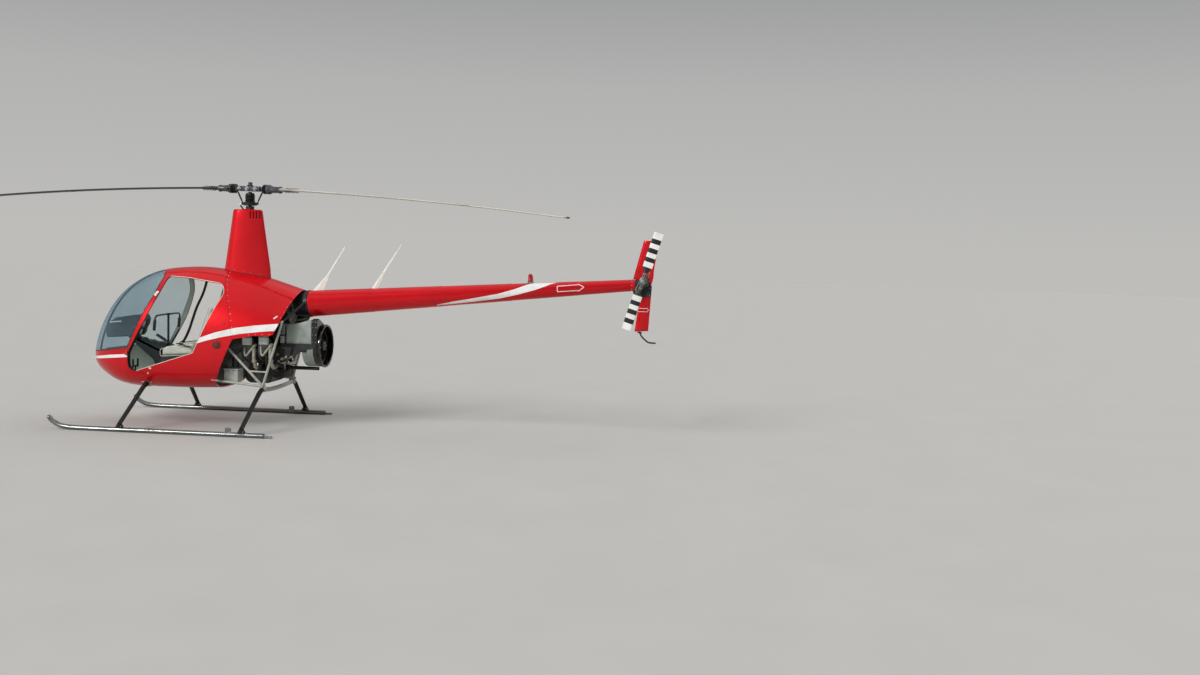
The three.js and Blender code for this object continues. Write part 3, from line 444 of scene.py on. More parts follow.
def with_flake(material, size_mm, depth_mm, darkest):
    """Mica flakes under the enamel's lacquer: tiny tilted cells that sparkle and shade."""
    tree = material.node_tree
    shaded = next(n for n in tree.nodes if n.type == "BSDF_PRINCIPLED")
    place = next(n for n in tree.nodes if n.type == "MAPPING").outputs["Vector"]
    cells = add(tree, "ShaderNodeTexVoronoi", {"Vector": place, "Scale": per_metre(size_mm)})
    spark = add(tree, "ShaderNodeMapRange", {"Value": cells.outputs["Color"], "To Min": darkest,
        "To Max": 1.0})
    tone = shaded.inputs["Base Color"].links[0].from_socket
    tree.links.new(mixed(tree, spark.outputs["Result"], linear("3a0408"), tone),
        shaded.inputs["Base Color"])
    bump = add(tree, "ShaderNodeBump", {"Height": cells.outputs["Distance"],
        "Distance": depth_mm * MM, "Strength": 0.5})
    tree.links.new(bump.outputs["Normal"], shaded.inputs["Normal"])
    return material


@cache
def red_enamel():
    # Metallic polyurethane enamel, sprayed and lacquered: a deep colour under a wet, sharp gloss
    colour = settings().colours.body
    paint = surface("metallic red enamel", (shade(colour, 0.86), tuple(colour)), 520, (0.34, 0.42),
        0.3, **{"Coat Weight": 0.6, "Coat Roughness": 0.03, "Coat IOR": 1.45,
        "Specular IOR Level": 0.1})
    return with_flake(paint, 2.2, 0.015, 0.84)


@cache
def white_enamel():
    # Solid white enamel band under the same lacquer: clean, with a faint grey cast
    return surface("white enamel", ("d9dad6", "f1f1ee"), 160, (0.32, 0.42), grain=(9, 0.02),
        **{"Coat Weight": 1.0, "Coat Roughness": 0.06})


@cache
def cabin_lining():
    # Olive grey trim paint on the inner skin: matt, stippled, scuffed by shoes and bags
    return surface("olive grey trim paint", ("969c8e", "a9ae9f"), 90, (0.6, 0.8),
        grain=(2.4, 0.15), stain=("787c6f", 60, 0.12, 0.75))


@cache
def soot_and_shade_black():
    # Undercoat inside the cowling and on the firewall's back: sooty, oil-misted black, and kept
    # this black as painted shade of the dark engine bay
    return surface("black undercoat with painted shade", ("0f1010", "1e1e1e"), 70, (0.5, 0.8), grain=(2.5, 0.2),
        stain=("33302b", 90, 0.2, 0.55))


@cache
def tinted_acrylic():
    # Blown acrylic sheet, lightly tinted: clear straight through, a bright rim, wiped dust
    material, tree, output, place = blank("tinted acrylic sheet")
    dust = add(tree, "ShaderNodeTexNoise", {"Vector": place, "Scale": per_metre(420),
        "Detail": 1.0})
    haze = add(tree, "ShaderNodeMapRange", {"Value": dust.outputs["Fac"], "From Min": 0.35,
        "From Max": 0.75, "To Min": 0.02, "To Max": 0.07}).outputs["Result"]
    clear = add(tree, "ShaderNodeBsdfTransparent", {"Color": tuple(settings().colours.glass)})
    film = add(tree, "ShaderNodeBsdfDiffuse", {"Color": linear("8fa5b2"), "Roughness": 0.3})
    gloss = add(tree, "ShaderNodeBsdfGlossy", {"Color": linear("d5e4ec"), "Roughness": 0.02})
    facing = add(tree, "ShaderNodeLayerWeight", {"Blend": 0.5}).outputs["Facing"]
    steep = add(tree, "ShaderNodeMath", {0: facing, 1: 5.0}, operation="POWER").outputs["Value"]
    rim = add(tree, "ShaderNodeMapRange", {"Value": steep, "To Min": 0.035,
        "To Max": 0.85}).outputs["Result"]
    dusty = add(tree, "ShaderNodeMixShader", {0: haze, 1: clear.outputs["BSDF"],
        2: film.outputs["BSDF"]})
    seen = add(tree, "ShaderNodeMixShader", {0: rim, 1: dusty.outputs["Shader"],
        2: gloss.outputs["BSDF"]})
    tree.links.new(seen.outputs["Shader"], output.inputs["Surface"])
    return material


@cache
def trim_strip():
    # Anodised aluminium cover strip, brushed along its length: soft grey with a satin streak
    return surface("brushed aluminium strip", ("7c8184", "989da0"), 30, (0.34, 0.48), 0.9,
        stretch=(0.2, 1, 1), grain=(1.2, 0.06))


@cache
def seal_rubber():
    # Extruded weatherstrip: black and dull with a bloom of grey dust
    return surface("extruded seal rubber", ("141516", "26282a"), 25, (0.65, 0.85),
        grain=(1.5, 0.1))


@cache
def cream_edging():
    # PVC edge trim pressed over the doorway flange: cream, a little soiled
    return surface("cream edge trim", ("c9c2ae", "e6e1d2"), 50, (0.45, 0.6), grain=(2, 0.05),
        stain=("8f8775", 40, 0.15, 0.7))


@cache
def vinyl():
    # Upholstery vinyl with a leather grain: fine pebbles, a low sheen and soil on the crowns
    colour = settings().colours.seats
    return surface("grained seat vinyl", (shade(colour, 0.72), tuple(colour)), 110, (0.48, 0.62),
        grain=(3.0, 0.5), stain=("8d8570", 140, 0.16, 0.6))


@cache
def webbing():
    # Woven nylon belt: fine ribs across the strap that scatter the light
    return surface("woven nylon webbing", ("151618", "24262a"), 20, (0.75, 0.9),
        bands=(2.4, 0.35, "Z"))


@cache
def crackle_black():
    # Wrinkle-finish black on sheet metal: matt with a fine crackle
    return surface("wrinkle black enamel", ("121314", "1c1e20"), 50, (0.55, 0.72),
        grain=(1.4, 0.22), stain=("3a3a38", 60, 0.10, 0.6))


@cache
def console_grey():
    # Moulded instrument hood in slate grey: fine pebble grain with a dull shine
    return surface("slate grey moulding", ("30373a", "434b4e"), 60, (0.45, 0.6), grain=(2.4, 0.3),
        stain=("5a6061", 50, 0.08, 0.7))


@cache
def black_satin():
    # Brushed-on satin black, handled and dusty
    return surface("satin black enamel", ("101213", "1e2123"), 45, (0.35, 0.55), grain=(5, 0.08),
        stain=("4b4842", 30, 0.12, 0.75))


@cache
def dial_face():
    # Printed instrument card behind glass: near black with a sharp reflection
    return surface("instrument glass", ("0a0b0c", "131516"), 30, (0.08, 0.12),
        **{"Coat Weight": 1.0})


@cache
def dial_marks():
    # Luminous paint on the instrument card: pale and flat
    return surface("pale dial paint", ("cfd2c4", "e8eadf"), 10, (0.5, 0.6))


@cache
def carpet():
    # Looped nylon carpet glued to the floor: dark, with tufts that catch the light
    return surface("looped nylon carpet", ("3c3e3b", "53554f"), 30, (0.9, 1.0), grain=(4, 2.0),
        **{"Sheen Weight": 0.3})


@cache
def stained_steel_and_shade():
    # Stainless firewall sheet: brown and blue-black heat stains under a film of oil mist, its
    # near-black tones partly painted shade of the engine bay
    return surface("heat stained stainless sheet with painted shade", ("1d1c1b", "35322f"), 90, (0.35, 0.6), 0.5,
        stretch=(1, 0.3, 1), grain=(1.4, 0.05), stain=("0f0e0d", 120, 0.45, 0.65))


@cache
def engine_enamel_and_shade():
    # Crankcase castings under grey engine enamel, cooked and oiled: dark with dull sheen, the
    # darkness partly the oiled enamel and partly painted shade of the engine bay
    return surface("grey engine enamel with painted shade", ("303335", "474b4d"), 45, (0.4, 0.62), 0.15,
        grain=(2.4, 0.4), stain=("161514", 60, 0.3, 0.45))


@cache
def cast_aluminium():
    # Sand cast aluminium: a pitted light grey with oil-darkened patches
    return surface("sand cast aluminium", ("777b7a", "a3a6a4"), 40, (0.45, 0.62), 0.6,
        grain=(2.2, 0.35), stain=("3b3833", 55, 0.3, 0.5))


@cache
def bead_blasted():
    # Bead blasted aluminium pipe: a dry, pale beige grey, browned by heat at its flanges
    return surface("bead blasted aluminium", ("8a887a", "aeab9b"), 40, (0.5, 0.65), 0.35,
        grain=(1.8, 0.1), stain=("5c4d3c", 50, 0.18, 0.6))


@cache
def grip_enamel():
    # Forged blade grips under dark grey epoxy enamel: satin, wiped with grease
    return surface("dark grey epoxy enamel", ("3a3d3e", "54585a"), 35, (0.3, 0.45), 0.4,
        grain=(4, 0.06), stain=("262524", 30, 0.22, 0.4))


@cache
def grey_cover_paint():
    # Stove enamel on the rocker covers: light grey, smooth, chipped at the rims
    return surface("light grey stove enamel", ("b2b8b3", "d2d7d0"), 45, (0.28, 0.42),
        grain=(6, 0.05), stain=("6d6f6c", 18, 0.08, 0.6), **{"Coat Weight": 0.4})


@cache
def powder_coat():
    # Powder coat on welded tube: light grey with an orange-peel skin and oily dust
    return surface("light grey powder coat", ("8b8c82", "aeaea2"), 60, (0.35, 0.5),
        grain=(3.5, 0.12), stain=("5d5a52", 35, 0.12, 0.7))


@cache
def hot_steel():
    # Exhaust steel after many hours: rust brown and grey scale, blue-black where it is hottest
    return surface("scaled exhaust steel", ("191817", "2c2826"), 30, (0.45, 0.7), 0.5,
        grain=(2.5, 0.25), stain=("3a2b20", 40, 0.22, 0.85))


@cache
def black_laminate():
    # Glass-fibre scroll in black gelcoat: smooth and shiny with the weave faintly through
    return surface("black gelcoat laminate", ("060708", "0f1112"), 70, (0.1, 0.2),
        bands=(6, 0.02, "Z"), stain=("1e1d1a", 50, 0.08, 0.5), **{"Coat Weight": 0.3})


@cache
def duct_sheet():
    # Painted sheet aluminium duct: pale grey with oil canning and grime
    return surface("painted duct sheet", ("828b85", "9ca49d"), 140, (0.3, 0.46), 0.3,
        grain=(60, 0.5), stain=("4c4c46", 60, 0.10, 0.7))


@cache
def belt_rubber():
    # Fabric-backed drive belt: dull black with chalky flanks
    return surface("drive belt rubber", ("17181a", "2a2b2c"), 20, (0.7, 0.9), grain=(1.5, 0.15))


@cache
def boot_rubber():
    # Moulded bellows: black rubber with a soft shine on the folds
    return surface("moulded boot rubber", ("101112", "1d1e20"), 25, (0.42, 0.6), grain=(2, 0.1))


@cache
def machined_metal():
    # Turned and milled alloy: bright, with fine tool marks
    return surface("machined alloy", ("a3a6a8", "c4c7c9"), 25, (0.22, 0.38), 0.95,
        bands=(1.6, 0.02, "Z"), stain=("6b6a66", 22, 0.1, 0.5))


@cache
def plated_steel():
    # Cadmium plated bolts: a warm grey with a soft shine
    return surface("cadmium plated steel", ("8f8c7e", "b5b1a2"), 12, (0.3, 0.45), 0.9)


@cache
def blade_enamel_and_sheen(tone, edge):
    # Bonded skin of a rotor blade, sprayed satin and scoured by rain and grit along the span; in
    # its pale tones it is painted highlight, the sun's sheen on the blade's dark grey satin
    return surface("scoured blade enamel and painted sheen", (tone, edge), 260, (0.38, 0.55), stretch=(0.25, 1.6, 1),
        grain=(4, 0.06), stain=("5c5f5f", 35, 0.12, 0.6))


@cache
def pale_root():
    # Primed doublers at the blade's root: chalky grey, rubbed by the boot's clamp
    return surface("grey root primer", ("8f918c", "b3b4ad"), 60, (0.5, 0.65),
        stain=("5b5b55", 40, 0.2, 0.6))


@cache
def leg_enamel():
    # Dark green-black enamel on the gear legs, stone chipped and dusty
    colour = settings().colours.legs
    return surface("green-black leg enamel", (tuple(colour), shade(colour, 1.8)), 50, (0.35, 0.55),
        grain=(6, 0.08), stain=("2c2e28", 14, 0.05, 0.7), **{"Specular IOR Level": 0.35})


@cache
def worn_skid():
    # Extruded aluminium skid tube: drawn lines, grass stains and a scoured underside
    return surface("scoured aluminium tube", ("686b69", "8a8d8b"), 70, (0.2, 0.3), 0.85,
        stretch=(0.15, 1, 1), grain=(1.6, 0.04), stain=("262622", 45, 0.2, 0.6))


@cache
def lens(name, colour):
    # Cast acrylic lens: clear colour with a glow where light crosses it
    return surface(name, (colour, colour), 20, (0.06, 0.1), **{"Transmission Weight": 0.35,
        "IOR": 1.49, "Coat Weight": 0.5})


@cache
def white_gelcoat():
    # White polyester over the aerials: smooth, slightly yellowed
    return surface("white gelcoat", ("d8d6cc", "efeee8"), 60, (0.25, 0.38), grain=(14, 0.04))


@cache
def black_band():
    # Black enamel bands that make a turning blade show: glossy and clean edged
    return surface("black band enamel", ("0c0d0e", "191b1c"), 30, (0.25, 0.4), grain=(8, 0.03))


@cache
def studio_floor():
    # Rolled matt vinyl studio floor: pale, with the faintest mottling
    colour = settings().colours.floor
    return surface("matt studio floor", (shade(colour, 0.96), tuple(colour)), 900, (0.75, 0.85))


# Settings


def length(name, default, description):
    return FloatProperty(name=name, default=default, min=0.0, description=description, unit="NONE")


def tint(name, hex_colour, description):
    return FloatVectorProperty(name=name, default=linear(hex_colour), size=4, min=0.0, max=1.0,
        subtype="COLOR", description=description)


class ColourSettings(PropertyGroup):
    body: tint("Body", "d60716", "Enamel of the cabin, cowling, tail cone and fins")
    glass: tint("Windscreen", "ebf3f6", "Tint of each face of the acrylic sheet")
    seats: tint("Seats", "c2c6b8", "Vinyl of the cushions")
    legs: tint("Gear legs", "090d0c", "Enamel of the landing gear legs")
    floor: tint("Floor", "b3b1ad", "Studio floor")


class SkinSettings(PropertyGroup):
    wall: length("Cabin wall", 14.0, "Thickness of the cabin skin with its stiffeners, mm")
    cowl: length("Cowl wall", 6.0, "Thickness of the engine cowling, mm")
    glass: length("Windscreen sheet", 5.0, "Thickness of the acrylic, mm")
    seam: length("Panel gap", 2.4, "Gap between neighbouring panels, mm")
    bead: length("Edge trim", 7.0, "Width of the trim round the doorways, mm")


class StageSettings(PropertyGroup):
    camera: FloatVectorProperty(name="Camera place", default=(5.048, -13.39, 2.093),
        subtype="TRANSLATION", unit="LENGTH", description="Where the photograph was taken from")
    yaw: FloatProperty(name="Yaw", default=math.radians(-6.64), subtype="ANGLE", unit="ROTATION",
        description="Camera heading, from +Y towards +X")
    pitch: FloatProperty(name="Pitch", default=math.radians(-4.19), subtype="ANGLE",
        unit="ROTATION", description="Camera tilt above the horizon")
    roll: FloatProperty(name="Roll", default=math.radians(-1.54), subtype="ANGLE", unit="ROTATION",
        description="Camera roll")
    lens: FloatProperty(name="Lens", default=37.668, min=10.0,
        description="Focal length on a 36 mm frame, mm")
    key: FloatProperty(name="Key light", default=2.6, min=0.0,
        description="Strength of the wide soft light in front and to the left")
    glint: FloatProperty(name="Glint light", default=2.0, min=0.0,
        description="Strength of the small low light that only metal and lacquer show")
    fill: FloatProperty(name="Fill light", default=0.8, min=0.0,
        description="Strength of the softer light from behind the tail")
    world: FloatProperty(name="Room light", default=0.72, min=0.0,
        description="Brightness of the pale room")


def settings():
    return bpy.context.scene.helicopter


# Fuselage skin


# Side view of the skin at stations along X, as two half superellipses that meet at the waist
STATIONS = np.array([
    # x, top, bottom, half width, waist height, exponent above the waist, exponent below
    (-1750, 735, 690, 20, 706, 2.0, 2.0),
    (-1738, 835, 648, 105, 712, 2.0, 2.1),
    (-1705, 960, 605, 190, 724, 2.0, 2.2),
    (-1640, 1125, 550, 285, 750, 2.0, 2.3),
    (-1540, 1300, 488, 372, 787, 2.05, 2.5),
    (-1400, 1466, 433, 448, 830, 2.1, 2.9),
    (-1200, 1608, 405, 510, 880, 2.15, 3.4),
    (-1000, 1690, 402, 543, 915, 2.2, 3.6),
    (-750, 1731, 404, 558, 930, 2.2, 3.6),
    (-450, 1740, 410, 560, 935, 2.2, 3.6),
    (-250, 1722, 418, 558, 940, 2.15, 3.6),
    (0, 1684, 430, 548, 945, 2.05, 3.6),
    (250, 1632, 445, 525, 950, 1.95, 3.6),
    (450, 1573, 455, 500, 950, 1.87, 3.6),
    (640, 1515, 460, 470, 950, 1.85, 3.6),
], float)
NOSE_TIP = (-1753.0, 0.0, 706.0)
BELOW, ABOVE, AHEAD = 380, 1760, -3000  # places in the side view that are clear of the skin
SKIN_GIRTH = 3900.0  # round the fullest ring
SKIN_STEP = 17.0  # spacing of the skin's rings and of the points on each ring

# Outlines cut through the skin in side view, as rows of (x, z, corner radius)
DOORWAY = [(-1163, 571, 280), (-1165, 790, 120), (-966, 1160, 900), (-838, 1455, 400),
    (-792, 1637, 40), (-560, 1627, 300), (-73, 1561, 110), (-404, 823, 25)]
SCREEN = [(-1171, 848, 20), (-1022, 1165, 900), (-888, 1440, 400), (-846, 1640, 60),
    (-960, 1722, 60), (-1010, 1900, 0), (-2000, 1900, 0), (-2000, 738, 0)]
COWL_SEAM = [(-205, ABOVE, 0), (-30, 1290, 600), (30, 985, 0)]
CABIN_END = [(30, 985, 0), (-235, BELOW, 0)]
COWL_END = [(30, 985, 0), (250, 1030, 400), (455, 1030, 60), (525, 1195, 200), (640, 1530, 0)]
NOSE_SEAM_X = -1180
NOSE_TOP = 1400  # the nose panel lies below this, the windscreen's posts above
CUT_SNAP = 0.02  # points this near to a cut count as on it, mm
SIDE_STRIPE = [(-365, 927), (-332, 990), (-158, 1054), (54, 1108), (261, 1139), (496, 1163),
    (520, 1163), (500, 1089), (473, 1087), (319, 1073), (110, 1046), (-102, 1003), (-255, 963)]
NOSE_STRIPE = [(-1159, 784), (-1400, 760), (-1644, 726), (-1762, 712), (-1762, 700), (-1644, 698),
    (-1400, 726), (-1159, 750)]
STRIP_HALF = 14.0  # half width of the windscreen's centre strip


def spline(places, values):
    """Natural cubic spline through (place, value) pairs, as a function of an array of places."""
    count = len(places)
    gap = np.diff(places)
    slope = np.diff(values) / gap
    system = np.eye(count)
    right = np.zeros(count)
    for i in range(1, count - 1):
        system[i, i - 1:i + 2] = gap[i - 1], 2 * (gap[i - 1] + gap[i]), gap[i]
        right[i] = 6 * (slope[i] - slope[i - 1])
    bend = np.linalg.solve(system, right)

    def value(at):
        i = np.clip(np.searchsorted(places, at) - 1, 0, count - 2)
        a, b = places[i + 1] - at, at - places[i]
        curve = (bend[i] * a ** 3 + bend[i + 1] * b ** 3) / (6 * gap[i])
        left = (values[i] / gap[i] - bend[i] * gap[i] / 6) * a
        return curve + left + (values[i + 1] / gap[i] - bend[i + 1] * gap[i] / 6) * b

    return value


def skin_profile():
    """Closely spaced stations on smooth curves through the table, evenly along the roof line."""
    roof = STATIONS[:, :2]
    run = np.concatenate([[0], np.cumsum(np.linalg.norm(np.diff(roof, axis=0), axis=1))])
    fine = np.linspace(0, run[-1], int(run[-1] / SKIN_STEP) + 1)
    return np.array([spline(run, STATIONS[:, k])(fine) for k in range(STATIONS.shape[1])]).T


PROFILE = skin_profile()


def station(x):
    """Top, bottom, half width, waist height and the two exponents of the skin at x."""
    return [float(np.interp(x, PROFILE[:, 0], PROFILE[:, k])) for k in range(1, 7)]


def skin_y(x, z):
    """Half width of the skin at a place in the side view, or none outside of it."""
    top, bottom, half, waist, up, low = station(x)
    if z > waist:
        share, power = (z - waist) / (top - waist), up
    else:
        share, power = (waist - z) / (waist - bottom), low
    if share >= 1 or x < PROFILE[0, 0]:
        return None
    return half * (1 - share ** power) ** (1 / power)


def half_ring(row, count):
    """Points of the left half of a station's outline, evenly spaced from keel to roof."""
    x, top, bottom, half, waist, up, low = row
    turn = np.linspace(-math.pi / 2, math.pi / 2, 600)
    power = np.where(turn > 0, 2 / up, 2 / low)
    height = np.where(turn > 0, top - waist, waist - bottom)
    y = half * np.abs(np.cos(turn)) ** power
    z = waist + height * np.sign(turn) * np.abs(np.sin(turn)) ** power
    y[0] = y[-1] = 0.0
    run = np.concatenate([[0], np.cumsum(np.hypot(np.diff(y), np.diff(z)))])
    even = np.linspace(0, run[-1], count)
    return [(x, -float(b), float(c)) for b, c in zip(np.interp(even, run, y),
        np.interp(even, run, z))]


def on_skin(line, side, proud):
    """The stretch of a side view line that lies on the skin, as points in space."""
    points = []
    fine = []
    for (x0, z0), (x1, z1) in zip(line, line[1:]):
        steps = max(1, math.ceil(math.hypot(x1 - x0, z1 - z0) / 12))
        fine += [(x0 + (x1 - x0) * k / steps, z0 + (z1 - z0) * k / steps) for k in range(steps)]
    fine.append(line[-1])
    for x, z in fine:
        y = skin_y(x, z)
        if y is not None:
            points.append(Vector((x, side * (y + proud), z)))
    return points


def skin_normal(point):
    """Direction straight out of the skin at a point on it."""
    x, y, z = point
    side = -1 if y < 0 else 1

    def at(u, v):
        found = skin_y(u, v)
        return Vector((u, side * (found if found is not None else 0.0), v))

    along = at(x + 3, z) - at(x - 3, z)
    rise = at(x, z + 3) - at(x, z - 3)
    normal = along.cross(rise)
    if normal.length < 1e-6:
        return Vector(UP)
    return normal.normalized() * (1 if normal.y * side > 0 else -1)


def score(mesh, line, closed=True):
    """Cut every face that a side view line crosses, so that a panel ends exactly on the line."""
    ends = line[1:] + line[:1] if closed else line[1:]
    low = (min(p[0] for p in line), min(p[1] for p in line))
    high = (max(p[0] for p in line), max(p[1] for p in line))

    def meets(face, low, high):
        xs = [v.co.x for v in face.verts]
        zs = [v.co.z for v in face.verts]
        return (min(xs) < high[0] + 1 and max(xs) > low[0] - 1 and min(zs) < high[1] + 1
            and max(zs) > low[1] - 1)

    near = {f for f in mesh.faces if meets(f, low, high)}
    for (x0, z0), (x1, z1) in zip(line, ends):
        box = (min(x0, x1), min(z0, z1)), (max(x0, x1), max(z0, z1))
        faces = [f for f in near if f.is_valid and meets(f, *box)]
        if not faces:
            continue
        parts = {e for f in faces for e in f.edges} | {v for f in faces for v in f.verts}
        made = bmesh.ops.bisect_plane(mesh, geom=faces + list(parts), dist=CUT_SNAP,
            plane_co=(x0, 0, z0), plane_no=(z1 - z0, 0, x0 - x1))
        near |= {g for g in made["geom"] if isinstance(g, bmesh.types.BMFace)}


def inside(points, outline):
    """Which of the (x, z) points lie inside a closed outline."""
    x, z = points[:, 0], points[:, 1]
    odd = np.zeros(len(points), bool)
    for (x0, z0), (x1, z1) in zip(outline, outline[1:] + outline[:1]):
        if z0 == z1:
            continue
        crosses = (z0 > z) != (z1 > z)
        odd ^= crosses & (x < (x1 - x0) * (z - z0) / (z1 - z0) + x0)
    return odd


def shifted(line, by):
    """A side view line moved along X."""
    return [(x + by, z) for x, z in line]


def skin_seam():
    """The line behind the cabin down to the keel, and how many of its points edge the cowling."""
    upper = rounded(COWL_SEAM, closed=False)
    return upper + rounded(CABIN_END, closed=False)[1:], len(upper)


def cut_skin():
    """The left half of the skin with every panel's edge scored in it."""
    count = int(SKIN_GIRTH / 2 / SKIN_STEP) + 1
    half = Shape()
    rows = [[half.mesh.verts.new(p) for p in half_ring(row, count)] for row in PROFILE]
    tip = half.mesh.verts.new(NOSE_TIP)
    for i in range(count - 1):
        half.face((tip, rows[0][i], rows[0][i + 1]))
        for a, b in zip(rows, rows[1:]):
            half.face((a[i], b[i], b[i + 1], a[i + 1]))
    gap = settings().skin.seam / 2
    seam, _ = skin_seam()
    for outline in (rounded(DOORWAY), rounded(SCREEN), SIDE_STRIPE, NOSE_STRIPE):
        score(half.mesh, outline)
    nose_edges = [[(NOSE_SEAM_X + by, BELOW), (NOSE_SEAM_X + by, 900)] for by in (-gap, gap)]
    for line in (shifted(seam, -gap), shifted(seam, gap), rounded(COWL_END, closed=False),
            *nose_edges):
        score(half.mesh, line, closed=False)
    screen = [f for f in half.mesh.faces if f.calc_center_median().y > -3 * SKIN_STEP]
    parts = {e for f in screen for e in f.edges} | {v for f in screen for v in f.verts}
    bmesh.ops.bisect_plane(half.mesh, geom=screen + list(parts), dist=CUT_SNAP,
        plane_co=(0, -STRIP_HALF, 0), plane_no=STARBOARD)
    return half.mesh


PANELS = ("gone", "nose", "cabin", "cowl", "screen", "strip")


def panel_of(mesh):
    """For each face of the scored skin, its panel and whether it is in a white stripe."""
    centres = np.array([f.calc_center_median() for f in mesh.faces])
    side = centres[:, [0, 2]]
    gap = settings().skin.seam / 2
    seam, shared = skin_seam()
    ahead = inside(side, shifted(seam, -gap) + [(AHEAD, BELOW), (AHEAD, ABOVE)])
    ahead |= side[:, 1] < BELOW
    behind = inside(side, shifted(seam[:shared], gap) + rounded(COWL_END, closed=False)[1:]
        + [(640, ABOVE)])
    panel = np.zeros(len(side), int)
    panel[ahead] = PANELS.index("cabin")
    panel[behind] = PANELS.index("cowl")
    panel[ahead & (side[:, 0] < NOSE_SEAM_X + gap)
        & (side[:, 1] < NOSE_TOP)] = PANELS.index("gone")
    panel[ahead & (side[:, 0] < NOSE_SEAM_X - gap)
        & (side[:, 1] < NOSE_TOP)] = PANELS.index("nose")
    panel[inside(side, rounded(DOORWAY))] = PANELS.index("gone")
    screen = inside(side, rounded(SCREEN)) & (side[:, 0] < 0)
    panel[screen] = PANELS.index("screen")
    panel[screen & (centres[:, 1] > -STRIP_HALF)] = PANELS.index("strip")
    white = inside(side, SIDE_STRIPE) | inside(side, NOSE_STRIPE)
    return panel, white


def make_panel(mesh, keep, white, name, wall, finishes, slot, replaces, inner=2, half=None):
    """Take some faces of the skin, mirror them unless one half is wanted, and give them a wall."""
    for face, stripe in zip(mesh.faces, white):
        face.material_index = int(stripe)
    panel = mesh.copy()
    panel.faces.ensure_lookup_table()
    bmesh.ops.delete(panel, geom=[panel.faces[i] for i in np.flatnonzero(~keep)], context="FACES")
    if half != "left":
        whole = bmesh.ops.duplicate(panel, geom=panel.verts[:] + panel.edges[:]
            + panel.faces[:])["geom"]
        twins = [g for g in whole if isinstance(g, bmesh.types.BMVert)]
        bmesh.ops.scale(panel, vec=(1, -1, 1), verts=twins)
        bmesh.ops.reverse_faces(panel,
            faces=[g for g in whole if isinstance(g, bmesh.types.BMFace)])
        if half == "right":
            gone = [v for v in panel.verts if v not in set(twins)]
            bmesh.ops.delete(panel, geom=gone, context="VERTS")
        middle = [v for v in panel.verts if abs(v.co.y) < 0.5]
        bmesh.ops.remove_doubles(panel, verts=middle, dist=0.5)
    data = released(panel, name, TO_FRAME)
    for finish in finishes:
        data.materials.append(finish)
    shell, sheet = walled(name + "_sheet", data, wall)
    sheet.use_even_offset = True
    sheet.material_offset = inner
    return settle(name, applied(shell), finishes, slot=slot, replaces=replaces)


def build_panels():
    group = settings()
    red = red_enamel()
    white = white_enamel()
    lining = cabin_lining()
    mesh = cut_skin()
    panel, stripes = panel_of(mesh)
    # The cowling's inner face takes the black undercoat: painted shade of the engine bay
    soot_and_shade = soot_and_shade_black()
    for name, part, wall, node, inner in (
        ("nose_panel", "nose", group.skin.wall, "nose_shell", lining),
        ("cabin_panels", "cabin", group.skin.wall, "cabin_shell", lining),
        ("cowling_panels", "cowl", group.skin.cowl, "engine_cowl", soot_and_shade),
    ):
        make_panel(mesh, panel == PANELS.index(part), stripes, name, wall,
            [red, white, inner, inner], "red_paint", [node])
    acrylic = [tinted_acrylic()]
    for side, _ in SIDES:
        make_panel(mesh, panel == PANELS.index("screen"), stripes, f"windscreen_sheet_{side}",
            group.skin.glass, acrylic, "windscreen", [f"windscreen_{side}"], inner=0, half=side)
    make_panel(mesh, panel == PANELS.index("strip"), stripes, "windscreen_cover_strip", 8.0,
        [black_satin()], "strip_metal", ["windscreen_centre_strip"], inner=0)
    mesh.free()


def build_trims():
    bead = settings().skin.bead
    ring = grown(rounded(DOORWAY), -1)
    low = min(range(len(ring)), key=lambda i: math.dist(ring[i], (-985, 618)))
    top = min(range(len(ring)), key=lambda i: math.dist(ring[i], (-770, 1635)))
    first, last = min(low, top), max(low, top)
    runs = [ring[first:last + 1], ring[last:] + ring[:first + 1]]
    runs.sort(key=lambda run: sum(p[0] for p in run) / len(run))
    for name, run, finish, radius in (("dark", runs[0], seal_rubber, bead * 0.42),
            ("cream", runs[1], cream_edging, bead * 0.5)):
        edge = Shape()
        for _, side in SIDES:
            edge.sweep(on_skin(run, side, -1.0), circle(radius, 8))
        edge.done(f"doorway_trim_{name}", [finish()])
    # A black strip, 42 mm deep, inside the lower front corner of each doorway
    jamb = Shape()
    for _, side in SIDES:
        path = [p for p in on_skin(grown(rounded(DOORWAY), -4), side, -15) if p.x < -960
            and p.z < 1010]
        path.sort(key=lambda p: math.atan2(p.z - 800, p.x + 1000) % (2 * math.pi))
        jamb.sweep(path, strip(2, -42, 6), up=(0, side, 0))
    jamb.done("doorway_corner_black_strip", [seal_rubber()])
    seal = Shape()
    outline = rounded(SCREEN)
    lower = [(-1735, 775), (-1640, 786), (-1480, 808), (-1340, 828), (-1200, 844)]
    pillar = [p for p in outline if p[0] > -930 and p[1] < 1702 or -1180 < p[0] and p[1] < 1640]
    pillar.sort(key=lambda p: p[1])
    left = on_skin(lower + pillar, -1, 0.6)
    path = left + [Vector((p.x, -p.y, p.z)) for p in left[::-1]]
    out = [skin_normal(p) for p in path]
    seal.sweep(path, [(-5, -2), (5, -2), (5, 0.8), (3, 1.6), (-3, 1.6), (-5, 0.8)], up=out)
    seal.done("windscreen_seal", [seal_rubber()])
    heads = [(p + skin_normal(p) * 1.6, skin_normal(p)) for p in spaced(path, 62)]
    studs("windscreen_screws", heads, plated_steel(), 3.2, 1.4, 10, 0.7)


